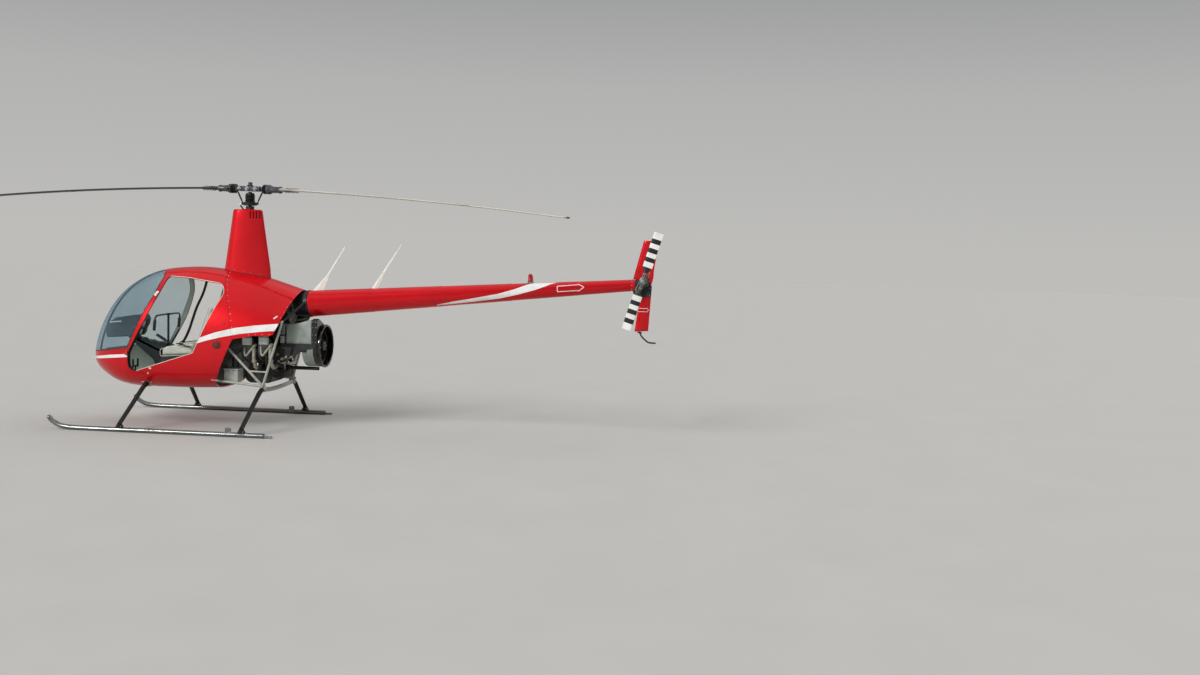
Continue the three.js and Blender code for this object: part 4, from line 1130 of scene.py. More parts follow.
def build_hinges():
    """Hinge halves that stay on the pillar: an upper one in white, partly painted highlight for
    the sun's glint on it, and a lower one in the body's red.
    """
    white_glint, painted, pin = Shape(), Shape(), Shape()
    for _, side in SIDES:
        for x, z, lean, leaf in ((-872, 1447, 66, white_glint), (-1183, 800, 84, painted)):
            spot = Vector((x, side * skin_y(x, z), z))
            out = skin_normal(spot)
            turn = math.radians(lean)
            along = Vector((math.cos(turn), 0, math.sin(turn)))
            along = (along - out * along.dot(out)).normalized()
            across = out.cross(along)
            corners = rect(-30, -15, 30, 13, (5, 5, 8, 8), 4)
            leaf.plate(corners, 0.5, 3.5, 0.8, lambda u, v, w: spot + along * u + across * v
                + out * w)
            edge = 17 if across.x > 0 else -17
            for k in (-1, 0, 1):
                middle = spot + across * edge + out * 3 + along * 20 * k
                leaf.rod(middle - along * 8, middle + along * 8, 5.5, sides=14, chamfer=0.8)
            pin.rod(spot + across * edge + out * 3 - along * 33, spot + across * edge + out * 3
                + along * 33, 2.6, sides=10)
            for u, v in ((-20, -4), (0, -4), (20, -4)):
                pin.lathe([(0, 4), (1.4, 3.6), (2, 0)], spot + along * u + across * v + out * 3.5,
                    out, 12)
    white_glint.done("door_hinges_upper", [white_gelcoat()])
    painted.done("door_hinges_lower", [red_enamel()])
    pin.done("door_hinge_pins", [plated_steel()])


def build_catches():
    """Door stay stud, latch plates, the small side plates and the cowling's screws."""
    bright, dark = Shape(), Shape()
    for _, side in SIDES:
        for x, z, wide, high, shape in ((-897, 640, 15, 9, bright), (-928, 583, 9, 9, bright),
                (-66, 1155, 9, 9, dark), (470, 1228, 26, 7, bright), (-982, 431, 72, 5, bright)):
            spot = Vector((x, side * skin_y(x, z), z))
            out = skin_normal(spot)
            along = Vector((1, 0, 0.9 if x > 400 else 0))
            along = (along - out * along.dot(out)).normalized()
            across = out.cross(along)
            corners = rect(-wide, -high, wide, high, high * 0.9, 3)
            shape.plate(corners, 0.4, 3.4, 1, lambda u, v, w: spot + along * u + across * v
                + out * w)
            shape.lathe([(3, 4), (4.6, 3.4), (5, 0)], spot, out, 12)
    bright.done("catch_plates", [white_gelcoat()])
    dark.done("cowl_turn_lock", [black_satin()])
    heads = []
    ahead = on_skin(shifted(rounded(COWL_SEAM, closed=False), 15), 1, 0.2)
    below = on_skin([(x - 4, z + 16) for x, z in rounded(COWL_END, closed=False)[1:]], 1, 0.2)
    for path in (ahead, below):
        for p in spaced(path, 74):
            for _, side in SIDES:
                point = Vector((p.x, side * p.y, p.z))
                heads.append((point, skin_normal(point)))
    studs("cowling_screws", heads, plated_steel(), 5.5, 1.8, 12, 0.75)


class HELI_OT_fuselage(Operator):
    """Nose, cabin and engine cowling with their stripes and edge trims"""

    bl_idname = "helicopter.fuselage"
    bl_label = "Fuselage"

    def execute(self, context):
        build_panels()
        build_trims()
        build_hinges()
        build_catches()
        return {"FINISHED"}


# Repeated fasteners


def stud_tree():
    """Geometry Nodes that set a chamfered head on each point, turned to its `out` direction."""
    tree = bpy.data.node_groups.get("fastener_heads")
    if tree:
        return tree
    tree = bpy.data.node_groups.new("fastener_heads", "GeometryNodeTree")
    face = tree.interface
    face.new_socket("Geometry", in_out="INPUT", socket_type="NodeSocketGeometry")
    for name in ("Radius", "Height", "Crown"):
        face.new_socket(name, in_out="INPUT", socket_type="NodeSocketFloat")
    face.new_socket("Sides", in_out="INPUT", socket_type="NodeSocketInt")
    face.new_socket("Finish", in_out="INPUT", socket_type="NodeSocketMaterial")
    face.new_socket("Geometry", in_out="OUTPUT", socket_type="NodeSocketGeometry")
    given = add(tree, "NodeGroupInput").outputs
    out = add(tree, "GeometryNodeInputNamedAttribute", {"Name": "out"}, data_type="FLOAT_VECTOR")
    turn = add(tree, "FunctionNodeAlignRotationToVector", {"Vector": out.outputs["Attribute"]},
        axis="Z")
    head = add(tree, "GeometryNodeMeshCone", {"Vertices": given["Sides"],
        "Radius Top": given["Crown"], "Radius Bottom": given["Radius"], "Depth": given["Height"]})
    placed = add(tree, "GeometryNodeInstanceOnPoints", {"Points": given["Geometry"],
        "Instance": head.outputs["Mesh"], "Rotation": turn.outputs["Rotation"]})
    real = add(tree, "GeometryNodeRealizeInstances", {"Geometry": placed.outputs["Instances"]})
    dressed = add(tree, "GeometryNodeSetMaterial", {"Geometry": real.outputs["Geometry"],
        "Material": given["Finish"]})
    add(tree, "NodeGroupOutput", {"Geometry": dressed.outputs["Geometry"]})
    return tree


def grown_by_nodes(name, tree, data, finish, inputs, **settled):
    """Run a node tree on a mesh and keep what it makes as a piece of its own."""
    holder = linked(name + "_points", data)
    work = holder.modifiers.new("repeat", "NODES")
    work.node_group = tree
    sockets = {item.name: item.identifier for item in tree.interface.items_tree
        if item.in_out == "INPUT"}
    for key, value in {**inputs, "Finish": finish}.items():
        work[sockets[key]] = value
    made = applied(holder)
    made.materials.clear()
    return settle(name, made, [finish], **settled)


def studs(name, places, finish, radius, height, sides, crown, place=None, **settled):
    """Rivets, screws or bolt heads at (point, direction) places in millimetres."""
    data = bpy.data.meshes.new(name + "_points")
    matrix = TO_FRAME @ (place or Matrix.Identity(4))
    turn = matrix.to_3x3().normalized()
    data.from_pydata([matrix @ Vector(p) for p, _ in places], [], [])
    out = data.attributes.new("out", "FLOAT_VECTOR", "POINT")
    out.data.foreach_set("vector", [c for _, d in places for c in (turn @ Vector(d)).normalized()])
    inputs = {"Radius": radius * MM, "Height": height * MM, "Crown": radius * crown * MM,
        "Sides": sides}
    return grown_by_nodes(name, stud_tree(), data, finish, inputs, **settled)


def spaced(path, pitch):
    """Points at an even pitch along a path."""
    path = [Vector(p) for p in path]
    made = [path[0]]
    left = pitch
    for a, b in zip(path, path[1:]):
        gap = (b - a).length
        while left <= gap:
            made.append(a.lerp(b, left / gap))
            left += pitch
        left -= gap
    return made


# Rotors


AZIMUTH, TEETER, CONING = -15.0, 1.03, -0.67  # degrees at rest, as the frame's solids stand
HUB_Z = 2612.0
SPUN = Matrix.Rotation(math.radians(AZIMUTH), 4, "Z")
HEAD = SPUN @ Matrix.Translation((0, 0, HUB_Z)) @ Matrix.Rotation(math.radians(TEETER), 4, "Y")
BLADES = (("fore", HEAD @ Matrix.Rotation(math.pi, 4, "Z"), -1), ("aft", HEAD, 1))
# Main blade; it hangs down with the square of the distance from the mast, times its droop
BLADE = {"root": 420.0, "tip": 3835.0, "chord": 183.0, "thick": 22.0, "droop": 10e-6}
TAIL_CENTRE = Vector((4394, -270, 1728))
TAIL_LEAN = 17.3  # degrees
TAIL_HEAD = Matrix.Translation(TAIL_CENTRE) @ Matrix.Rotation(math.radians(TAIL_LEAN), 4, "Y")
# Where a tail blade's bands change, from root to tip
BAND_RADII = (156, 214, 261, 311, 361, 412, 463, 533)


def aerofoil(count):
    """Half of a symmetrical wing section as (share of chord, share of half its thickness)."""
    rows = []
    for i in range(count):
        c = (1 - math.cos(math.pi * i / (count - 1))) / 2
        t = 2.969 * math.sqrt(c) - 1.26 * c - 3.516 * c ** 2 + 2.843 * c ** 3 - 1.015 * c ** 4
        rows.append((c, t))
    return rows


def wing_ring(nose, tail, thick, across, count, least):
    """Section of a blade or fin from its nose to its tail, its thickness along a direction."""
    rows = aerofoil(count)
    nose, tail, across = Vector(nose), Vector(tail), Vector(across)
    over = [nose.lerp(tail, c) + across * max(t * thick / 2, least if c else 0) for c, t in rows]
    under = [nose.lerp(tail, c) - across * max(t * thick / 2, least) for c, t in rows[1:][::-1]]
    return over + under


def blade_height(r):
    slope = math.tan(math.radians(CONING))
    return -BLADE["droop"] * (r * r - BLADE["root"] ** 2) + slope * (r - BLADE["root"])


def build_main_blade(name, place):
    chord, thick = BLADE["chord"], BLADE["thick"]
    rows = [(BLADE["root"], 0.50, 1.75), (455, 0.54, 1.7), (520, 0.70, 1.45), (600, 0.92, 1.15),
        (680, 1, 1)]
    rows += [(r, 1, 1) for r in range(900, 3801, 290)]
    rows += [(3815, 1, 1), (BLADE["tip"] - 4, 0.99, 0.8), (BLADE["tip"], 0.97, 0.35)]
    rings = []
    for r, wide, deep in rows:
        z = blade_height(r)
        nose, tail = (r, 0.25 * chord * wide, z), (r, -0.75 * chord * wide, z)
        rings.append(wing_ring(nose, tail, thick * deep, UP, 12, least=0.8))
    sides = len(rings[0])
    edge = 5  # sections each side of the nose in the dark paint; the rest of the section carries painted highlight

    def paint(k, i):
        if i < edge or i >= sides - edge:
            return 1
        return 2 if rows[k][0] < 600 else 0

    # The pale first finish is painted highlight, the low sun's sheen on the blade's dark satin;
    # the second is the dark paint itself, the third the root's primer
    skin = [blade_enamel_and_sheen("b7b6aa", "d2d1c6"), blade_enamel_and_sheen("141516", "222426"), pale_root()]
    body = Shape().loft(rings, paint=paint)
    body.done(f"rotor_blade_{name}", skin, "main_rotor", "blade_paint", [f"main_blade_{name}"],
        place, 40)
    trim = Shape()
    trim.block((2650, -chord * 0.75 - 22, blade_height(2700) - 0.9),
        (2790, -chord * 0.74, blade_height(2700) + 0.9), 0.4, 1)
    for side in (1, -1):
        z = blade_height(560)
        trim.plate(rounded([(452, 20, 12), (640, 26, 20), (640, -58, 30), (452, -26, 12)], 12),
            side * 17 + z, side * 19.5 + z, 0.6, lambda u, v, w: (u, v, w))
    trim.done(f"rotor_blade_fittings_{name}", [grip_enamel()], "main_rotor", "rotor_metal", (),
        place)
    bolts = [((r, y, side * 19.5 + blade_height(560)), (0, 0, side)) for r, y in ((470, 0),
        (505, 8), (505, -20), (560, 8), (560, -34), (615, 6), (615, -36)) for side in (1, -1)]
    studs(f"rotor_blade_bolts_{name}", bolts, plated_steel(), 7, 9, 6, 0.9, place,
        body="main_rotor", slot="rotor_metal")


def build_main_hub():
    head = Shape()
    for y in (-52, 30):
        head.block((-158, y, -26), (158, y + 22, 28), 5, 3)
    head.block((-62, -34, -20), (62, 34, 24), 6, 3)
    head.lathe([(0, 30), (6, 34), (14, 34), (18, 24), (34, 21), (38, 25), (44, 25), (46, 18),
        (46, 0)], (0, 0, 26), UP, 32)
    for x, radius, reach in ((0, 15, 76), (-105, 13, 73), (105, 13, 73)):
        head.rod((x, -reach + 10, 0), (x, reach - 10, 0), radius, sides=20)
        for side in (-1, 1):
            head.lathe([(0, radius + 13), (4, radius + 13), (5, radius + 9)], (x, side * 52, 0),
                (0, side, 0), 24)
    head.done("rotor_head_forks", [engine_enamel_and_shade()], "main_rotor", "rotor_metal", ["rotor_hub"],
        HEAD, 35)
    nuts = Shape()
    for x, size in ((0, 34), (-105, 30), (105, 30)):
        for side in (-1, 1):
            nuts.bolt((x, side * 56, 0), (0, side, 0), size, 17)
    for x in (-105, 105):
        nuts.block((x - 16, -9, 27), (x + 16, 9, 33), 2)
    nuts.bolt((0, 0, 66), UP, 26, 7)
    nuts.done("rotor_head_nuts", [machined_metal()], "main_rotor", "rotor_metal", (), HEAD)
    for name, place, _ in BLADES:
        grip = Shape()
        grip.block((118, -30, -24), (196, 30, 24), 8, 3)
        grip.lathe([(0, 46), (5, 52), (34, 52), (40, 46), (52, 43), (60, 36), (150, 33), (158, 38),
            (176, 38), (186, 30)], (232, 0, -1), (1, 0, -0.012), 32)
        grip.block((246, 30, -16), (284, 88, 8), 6, 2)
        grip.rod((265, 84, -30), (265, 84, 14), 9, sides=16, chamfer=1.5)
        grip.done(f"blade_grip_{name}", [grip_enamel()], "main_rotor", "rotor_metal", (), place,
            35)
        boot = Shape()
        folds = [(182, 40)] + [(186 + 6 * i, 52 if i % 2 else 43) for i in range(8)] + [(235, 40)]
        boot.lathe(folds, (0, 0, 0), AFT, 28)
        boot.done(f"blade_grip_boot_{name}", [boot_rubber()], "main_rotor", "boot_rubber", (),
            place, 25)


def build_swashplate():
    Shape().rod((0, 0, 1560), (0, 0, 2578), 20, sides=24).done("rotor_drive_shaft",
        [engine_enamel_and_shade()], "main_rotor", "rotor_metal", ["rotor_shaft"], SPUN)
    plates = Shape()
    plates.lathe([(0, 60), (3, 72), (5, 78), (15, 78), (18, 70), (20, 70), (22, 76), (33, 76),
        (36, 66), (41, 58)], (0, 0, 2429), UP, 40)
    for turn in (1, -1):
        plates.rod((turn * 60, 0, 2452), (turn * 112, 0, 2452), 11, 9, 14, 1.5)
        plates.ball((turn * 100, 0, 2452), 14, 14)
        plates.rod((turn * 100, 0, 2464), (turn * 104, turn * 88, 2592), 6.5, sides=12)
        plates.rod((turn * 100.7, turn * 16, 2486), (turn * 103.2, turn * 72, 2568), 9, sides=6)
        plates.ball((turn * 104, turn * 88, 2594), 13, 14)
    plates.done("pitch_links", [black_satin()], "main_rotor", "rotor_metal", ["swashplate"], SPUN)
    sleeve = Shape()
    folds = [(0, 50)] + [(4 + 9.5 * i, 56 if i % 2 else 47) for i in range(9)] + [(94, 44),
        (98, 40), (98, 22)]
    sleeve.lathe(folds, (0, 0, 2469), UP, 32)
    sleeve.done("mast_boot", [boot_rubber()], "main_rotor", "boot_rubber", (), SPUN, 25)


class HELI_OT_main_rotor(Operator):
    """Two blades, the teetering hub, its boots, swashplate and links"""

    bl_idname = "helicopter.main_rotor"
    bl_label = "Main rotor"

    def execute(self, context):
        for name, place, _ in BLADES:
            build_main_blade(name, place)
        build_main_hub()
        build_swashplate()
        return {"FINISHED"}


# Mast fairing


FAIRING = [
    # height, front, rear, half width
    (1600, -287, 250, 108), (1740, -278, 240, 104), (2180, -215, 172, 84), (2360, -190, 146, 76),
    (2380, -184, 140, 72),
]
LOUVRES = [22 + 32 * i for i in range(4)]  # front edges of the air slots in the fairing's top
FOOT_SIDES = 96  # corners of the line where the fairing meets the roof


def fairing_ring(z, front, rear, half, count=72):
    """Teardrop outline of the mast fairing at a height."""
    nose = front + half * 1.2
    points = []
    for turn in turns(count):
        c = math.cos(turn)
        reach = nose - front if c < 0 else rear - nose
        taper = 1 - 0.25 * c * c if c > 0 else 1
        points.append((nose + reach * c, half * math.sin(turn) * taper, z))
    return points


def fairing_at(z):
    rows = np.array(FAIRING, float)
    return [float(np.interp(z, rows[:, 0], rows[:, k])) for k in (1, 2, 3)]


def build_mast_cover():
    cover = Shape()
    heights = [1600, 1640, 1680, 1740, 1830, 1940, 2060, 2180, 2270, 2360, 2376]
    rings = [fairing_ring(z, *fairing_at(z)) for z in heights]
    front, rear, half = fairing_at(2380)
    for z, inset in ((2382, 5), (2385, 12)):
        rings.append(fairing_ring(z, front + inset, rear - inset, half - inset))
    opening = [Vector((x, y, 2386)) for x, y in circle(58, 72)]
    rings.append([lerp(p, q, 0.5) for p, q in zip(rings[-1], opening)])
    rings.append(opening)
    cover.loft(rings, ends=False)
    shell, _ = walled("mast_cover_sheet", cover.data("mast_cover"), 5)
    cutter = slot_tool()
    cut = shell.modifiers.new("slots", "BOOLEAN")
    cut.object = cutter
    cut.operation = "DIFFERENCE"
    cut.solver = "EXACT"
    made = applied(shell)
    bpy.data.objects.remove(cutter)
    made.materials.clear()
    settle("mast_cover", made, [red_enamel()], slot="red_paint", replaces=["mast_fairing"])


def build_air_box():
    """Dark box behind the air slots, and the screws round the fairing's foot."""
    box = Shape()
    rings = []
    for z in (2278, 2374):
        front, rear, half = fairing_at(z)
        ring = fairing_ring(z, front, rear, half - 15, 40)
        rings.append([(max(4.0, min(x, 132.0)), y, z) for x, y, z in ring])
    box.loft(rings)
    box.done("mast_air_box", [soot_and_shade_black()])
    heads = []
    path = [Vector((x, y, z + 26)) for x, y, z in fairing_foot()]
    for point in spaced(path + path[:1], 92)[:-1]:
        ring = [Vector(p) for p in fairing_ring(point.z, *fairing_at(point.z), count=FOOT_SIDES)]
        i = min(range(FOOT_SIDES), key=lambda k: (ring[k] - point).length)
        side = ring[(i + 1) % FOOT_SIDES] - ring[i - 1]
        heads.append((ring[i], Vector((side.y, -side.x, 0))))
    studs("mast_cover_screws", heads, plated_steel(), 5, 3, 12, 0.7)


def fairing_foot():
    """Where the fairing's wall meets the roof of the cabin."""
    path = []
    for i in range(FOOT_SIDES):
        z = 1660.0
        for _ in range(6):
            point = fairing_ring(z, *fairing_at(z), count=FOOT_SIDES)[i]
            top, bottom, half, waist, up, _ = station(point[0])
            z = waist + (top - waist) * (1 - min(abs(point[1]) / half, 1) ** up) ** (1 / up)
        path.append((point[0], point[1], z))
    return path


def slot_tool():
    tool = Shape()
    for x in LOUVRES:
        outline = rect(x, 2288, x + 12, 2368, 6, 3)
        tool.plate(outline, -200, 200, 0)
    return linked("slot_tool", tool.data("slot_tool"))


def build_mast_inside():
    Shape().lathe([(0, 45), (938, 45), (942, 42), (942, 30), (0, 30)], (0, 0, 1480.5), UP, 32,
        joined=True).done("mast_steel_tube", [black_satin()], slot="frame_paint",
        replaces=["mast_tube"])
    Shape().sweep(fairing_foot(), circle(5, 8), joined=True).done("mast_cover_foot_seal",
        [seal_rubber()])
    Shape().tube([(-62, -30, 2380), (-70, -42, 2398), (-84, -50, 2420), (-89, -50, 2436)], 8,
        10).done("mast_control_arm", [black_satin()])
    Shape().ball((-89, -50, 2439), 13, 16).done("mast_control_ball", [white_gelcoat()])


class HELI_OT_mast(Operator):
    """Tall teardrop fairing with its air slots, the mast tube and the lever beside it"""

    bl_idname = "helicopter.mast"
    bl_label = "Mast fairing"

    def execute(self, context):
        build_mast_cover()
        build_mast_inside()
        build_air_box()
        return {"FINISHED"}


# Tail


CONE_FRONT, CONE_REAR = Vector((715, 0, 1368)), Vector((4260, 0, 1676))
CONE_RADII = (146.0, 62.0)
CONE_AXIS = (CONE_REAR - CONE_FRONT).normalized()
CONE_LAPS = (729.0, 1430, 2190, 2960, 3690, 4244.0)  # lap joints of the tail cone's sheets
FIN_Y, FIN_THICK = 88.0, 27.0
UPPER_FIN = ([(4262, 1745), (4368, 2158)], [(4460, 1682), (4482, 1755), (4484, 1850),
    (4534, 2158)])
LOWER_FIN = ([(4345, 1600), (4292, 1176)], [(4464, 1600), (4461, 1559), (4441, 1186)])
STABILISER = ([(4190, 0), (4215, 740)], [(4430, 0), (4420, 740)])
# White swoosh round the tail cone, as rows of (x, angle above level on the left side in degrees)
SWOOSH_LOW = [(2140, -58), (2513, -50), (2833, -38), (3046, -16), (3230, 8), (3332, 30),
    (3446, 66), (3500, 90)]
SWOOSH_TOP = [(2140, -52), (2330, -36), (2518, -25), (2836, -3), (3000, 20), (3100, 42),
    (3175, 66), (3214, 90)]
ARROW_SIGN = [(3465, -15), (3465, 28), (3690, 33), (3690, 40), (3752, 9), (3690, -22), (3690, -15)]
BEACON_X = 3169.0


def cone_share(x):
    """How far back along the tail cone x is, from 0 to 1."""
    return (x - CONE_FRONT.x) / (CONE_REAR.x - CONE_FRONT.x)


def cone_radius(x):
    return CONE_RADII[0] + cone_share(x) * (CONE_RADII[1] - CONE_RADII[0])


def cone_point(x, degrees, side, proud=0.0):
    """A point on the tail cone, its angle above level measured up from the given side."""
    centre = CONE_FRONT.lerp(CONE_REAR, cone_share(x))
    radius = cone_radius(x) + proud
    up = Vector((-CONE_AXIS.z, 0, CONE_AXIS.x))
    turn = math.radians(degrees)
    return centre + Vector((0, side, 0)) * radius * math.cos(turn) + up * radius * math.sin(turn)


def along_line(line, share):
    """The point at a share of a line's length."""
    rows = [Vector(p) for p in line]
    lengths = [(b - a).length for a, b in zip(rows, rows[1:])]
    goal = share * sum(lengths)
    for a, b, size in zip(rows, rows[1:], lengths):
        if goal <= size or b is rows[-1]:
            return a.lerp(b, min(goal / size, 1))
        goal -= size


def build_tail_cone():
    total = (CONE_REAR - CONE_FRONT).length
    rows = [(0, CONE_RADII[0] - 1)]
    for lap in CONE_LAPS:
        along = (lap - CONE_FRONT.x) / CONE_AXIS.x
        radius = cone_radius(lap)
        rows += [(along - 3, radius - 0.2), (along, radius - 1.6)]
    rows += [(total, CONE_RADII[1] - 1.8)]
    cone = Shape()
    cone.lathe(rows, CONE_FRONT, CONE_AXIS, 96)
    cone.lathe([(-2, 54), (-2, 60), (0, 62), (36, 61), (38, 59), (38, 54)], CONE_REAR, CONE_AXIS,
        64, joined=True)
    cone.done("tail_cone_skin", [red_enamel()], slot="red_paint", replaces=["tail_cone"])
    heads = []
    for lap in CONE_LAPS:
        count = 36 if lap < 3000 else 24
        for i in range(count):
            for x in (lap - 12, lap - 30):
                point = cone_point(x, 360 * i / count, -1, -0.6)
                heads.append((point, point - cone_point(x, 360 * i / count, -1, -20)))
    for x in range(760, 4240, 42):
        point = cone_point(x, -90, -1, -0.6)
        heads.append((point, Vector(DOWN)))
    studs("tail_cone_rivets", heads, red_enamel(), 3.2, 2.2, 8, 0.5)
    stripe = Shape()
    for side in (-1, 1):
        rings = []
        for k in range(25):
            low, top = along_line(SWOOSH_LOW, k / 24), along_line(SWOOSH_TOP, k / 24)
            row = [low.lerp(top, j / 12) for j in range(13)]
            rings.append([cone_point(x, a, side, 0.6) for x, a in row]
                + [cone_point(x, a, side, -2.0) for x, a in row[::-1]])
        stripe.loft(rings)
    stripe.done("tail_cone_swoosh", [white_enamel()], slot="white_paint")
    sign = Shape()
    for side in (-1, 1):
        edge = ARROW_SIGN + ARROW_SIGN[:1]
        for (x0, a0), (x1, a1) in zip(edge, edge[1:]):
            path = [(x0 + (x1 - x0) * k / 8, a0 + (a1 - a0) * k / 8) for k in range(9)]
            centre = [cone_point(x, a, side, 0.2) for x, a in path]
            out = [cone_point(x, a, side, 20) - cone_point(x, a, side, 0) for x, a in path]
            sign.sweep(centre, strip(4, -1, 0.6), up=out)
    sign.done("tail_cone_arrow_outline", [white_enamel()], slot="white_paint")


def build_fin(name, node, edges, place, inward):
    lead, trail = edges
    shape = Shape()
    rings = []
    steps = [(0.0, 0.45), (0.012, 0.85), (0.03, 1)] + [(k / 10, 1) for k in range(1, 10)]
    for share, squeeze in steps + [(0.965, 1), (0.985, 0.85), (1.0, 0.4)]:
        nose, tail = along_line(lead, share), along_line(trail, share)
        rings.append(wing_ring(place(*nose), place(*tail), FIN_THICK * squeeze, inward, 12, 1.2))
    shape.loft(rings)
    shape.done(name, [red_enamel()], slot="red_paint", replaces=[node], sharp=45)
    heads = []
    for chord, lift in ((0.16, 0.97), (0.62, 0.74)):
        for k in range(2, 39):
            nose = Vector(place(*along_line(lead, k / 40)))
            tail = Vector(place(*along_line(trail, k / 40)))
            for side in (1, -1):
                out = Vector(inward) * side
                heads.append((nose.lerp(tail, chord) + out * FIN_THICK / 2 * lift, out))
    studs(name + "_rivets", heads, red_enamel(), 2.6, 2.4, 8, 0.5)


def build_fins():
    build_fin("upper_fin_skin", "upper_fin", UPPER_FIN, lambda x, z: (x, FIN_Y, z), STARBOARD)
    build_fin("lower_fin_skin", "lower_fin", LOWER_FIN, lambda x, z: (x, FIN_Y, z), STARBOARD)
    build_fin("stabiliser_skin", "horizontal_stabiliser", STABILISER, lambda x, y: (x, 102.5 + y,
        1700), UP)
    sign = Shape()
    corners = [(4318, 1394), (4318, 1430), (4418, 1430), (4418, 1436), (4438, 1411), (4418, 1388),
        (4418, 1394)]
    for (x0, z0), (x1, z1) in zip(corners, corners[1:] + corners[:1]):
        y = FIN_Y - FIN_THICK / 2 + 1.0
        sign.sweep([(x0, y, z0), (x1, y, z1)], strip(2.2, -3, 1.4), up=PORT)
    sign.done("lower_fin_arrow_outline", [white_enamel()], slot="white_paint")


def build_tail_gearbox():
    box = Shape()
    box.lathe([(0.5, 58), (6, 60), (16, 60), (20, 55), (84, 55), (96, 48), (98, 0)], CONE_REAR,
        CONE_AXIS, 40)
    box.lathe([(0, 50), (10, 52), (60, 50), (95, 42), (102, 30), (103, 0)], (4330, 0, 1686),
        (100, 0, 26), 32)
    box.lathe([(0, 44), (40, 43), (70, 40), (84, 34), (88, 20), (89, 0)], (4314, 0, 1660), DOWN,
        28)
    box.lathe([(0, 44), (30, 44), (34, 50), (44, 50), (48, 42), (120, 34), (150, 31), (168, 30),
        (170, 24)], (TAIL_CENTRE.x, 20, TAIL_CENTRE.z), PORT, 36)
    box.lathe([(0, 44), (24, 44), (28, 38), (40, 36), (41, 0)], (TAIL_CENTRE.x, 20, TAIL_CENTRE.z),
        STARBOARD, 32)
    for turn in turns(6):
        rib = Vector((math.cos(turn), 0, math.sin(turn)))
        foot = TAIL_CENTRE + Vector((0, 262, 0))
        box.sweep([foot + rib * 40, foot + rib * 34 + Vector((0, -92, 0))], strip(2.5, -6, 7),
            up=rib)
    box.block((4350, 20, 1642), (4400, 68, 1723), 6)
    plate = rounded([(4325, 1545, 20), (4462, 1560, 20), (4468, 1672, 10), (4400, 1730, 20),
        (4325, 1730, 20)], 8)
    box.plate(plate, 62.7, 73.5, 2)
    box.rod((4330, 20, 1700), (4330, 102, 1700), 12, sides=20)
    box.done("tail_rotor_gearbox", [black_satin()], slot="black_paint", replaces=["tail_gearbox"])
    heads = [(CONE_REAR + CONE_AXIS * 3 + Vector((0, 57 * math.cos(a), 57 * math.sin(a))),
        Vector((0, math.cos(a), math.sin(a)))) for a in turns(10)]
    heads += [((TAIL_CENTRE.x + x, -15, TAIL_CENTRE.z + z), PORT) for x, z in circle(47, 8)]
    heads += [((x, 62.7, z), PORT) for x, z in ((4340, 1560), (4448, 1575), (4340, 1600),
        (4450, 1650))]
    studs("tail_gearbox_bolts", heads, plated_steel(), 6, 10, 6, 0.9)
    Shape().lathe([(0, 12), (4, 12), (6, 10), (6.5, 0)], (4314, -38, 1612), PORT, 20).done(
        "tail_gearbox_sight_glass", [lens("amber oil glass", "c98a1e")])


def build_tail_fittings():
    skid = Shape()
    skid.tube([(4343, FIN_Y, 1177), (4358, FIN_Y, 1150), (4382, FIN_Y, 1115), (4441, FIN_Y, 1066),
        (4500, FIN_Y, 1058.5), (4526, FIN_Y, 1058)], 8.6, 12, scale=lambda t: 1 if t < 0.98
        else 0.8)
    skid.block((4326, FIN_Y - 5, 1160), (4372, FIN_Y + 5, 1176), 2)
    skid.done("tail_skid_bow", [black_satin()], slot="black_paint", replaces=["tail_skid"])
    foot = cone_point(BEACON_X, 90, -1)
    Shape().lathe([(-6, 37), (1, 37), (5, 33), (10, 33), (10, 0)], foot, UP, 32).done(
        "beacon_base", [trim_strip()])
    dome = Shape()
    rows = [(10, 29), (14, 31), (20, 31), (24, 28.5), (60, 27), (82, 24), (94, 18), (100, 9),
        (102, 0)]
    dome.lathe(rows, foot, (-0.06, 0, 1), 32)
    dome.done("beacon_lens", [lens("red lens acrylic", "c4101a")], slot="red_lens",
        replaces=["beacon"])
    for name, foot_a, foot_b, neck, tip in (
        ("front", 736, 860, (905, 0, 1695), (1088, 0, 2001)),
        ("rear", 1400, 1472, (1535, 0, 1745), (1729, 0, 2051)),
    ):
        mast = Shape()
        rings = []
        for k in range(9):
            t = k / 8
            a = lerp(cone_point(foot_a, 90, -1, -8), (neck[0] - 14, 0, neck[2]), t)
            b = lerp(cone_point(foot_b, 90, -1, -8), (neck[0] + 12, 0, neck[2]), t)
            rings.append(wing_ring(a, b, 14 - 4 * t, STARBOARD, 9, 1.5))
        mast.loft(rings)
        low = Vector(neck) + Vector((-4, 0, -8))
        mast.sweep([lerp(low, tip, k / 6) for k in range(7)],
            [(5 * s, 14 * u) for s, u in circle(1, 16)], up=AFT, scale=lambda t: 1 - 0.6 * t)
        mast.done(f"aerial_{name}", [white_gelcoat()], slot="white_paint",
            replaces=[f"antenna_{name}"])


class HELI_OT_tail(Operator):
    """Tail cone with its stripe, fins, stabiliser, gearbox, skid, beacon and aerials"""

    bl_idname = "helicopter.tail"
    bl_label = "Tail"

    def execute(self, context):
        build_tail_cone()
        build_fins()
        build_tail_gearbox()
        build_tail_fittings()
        return {"FINISHED"}


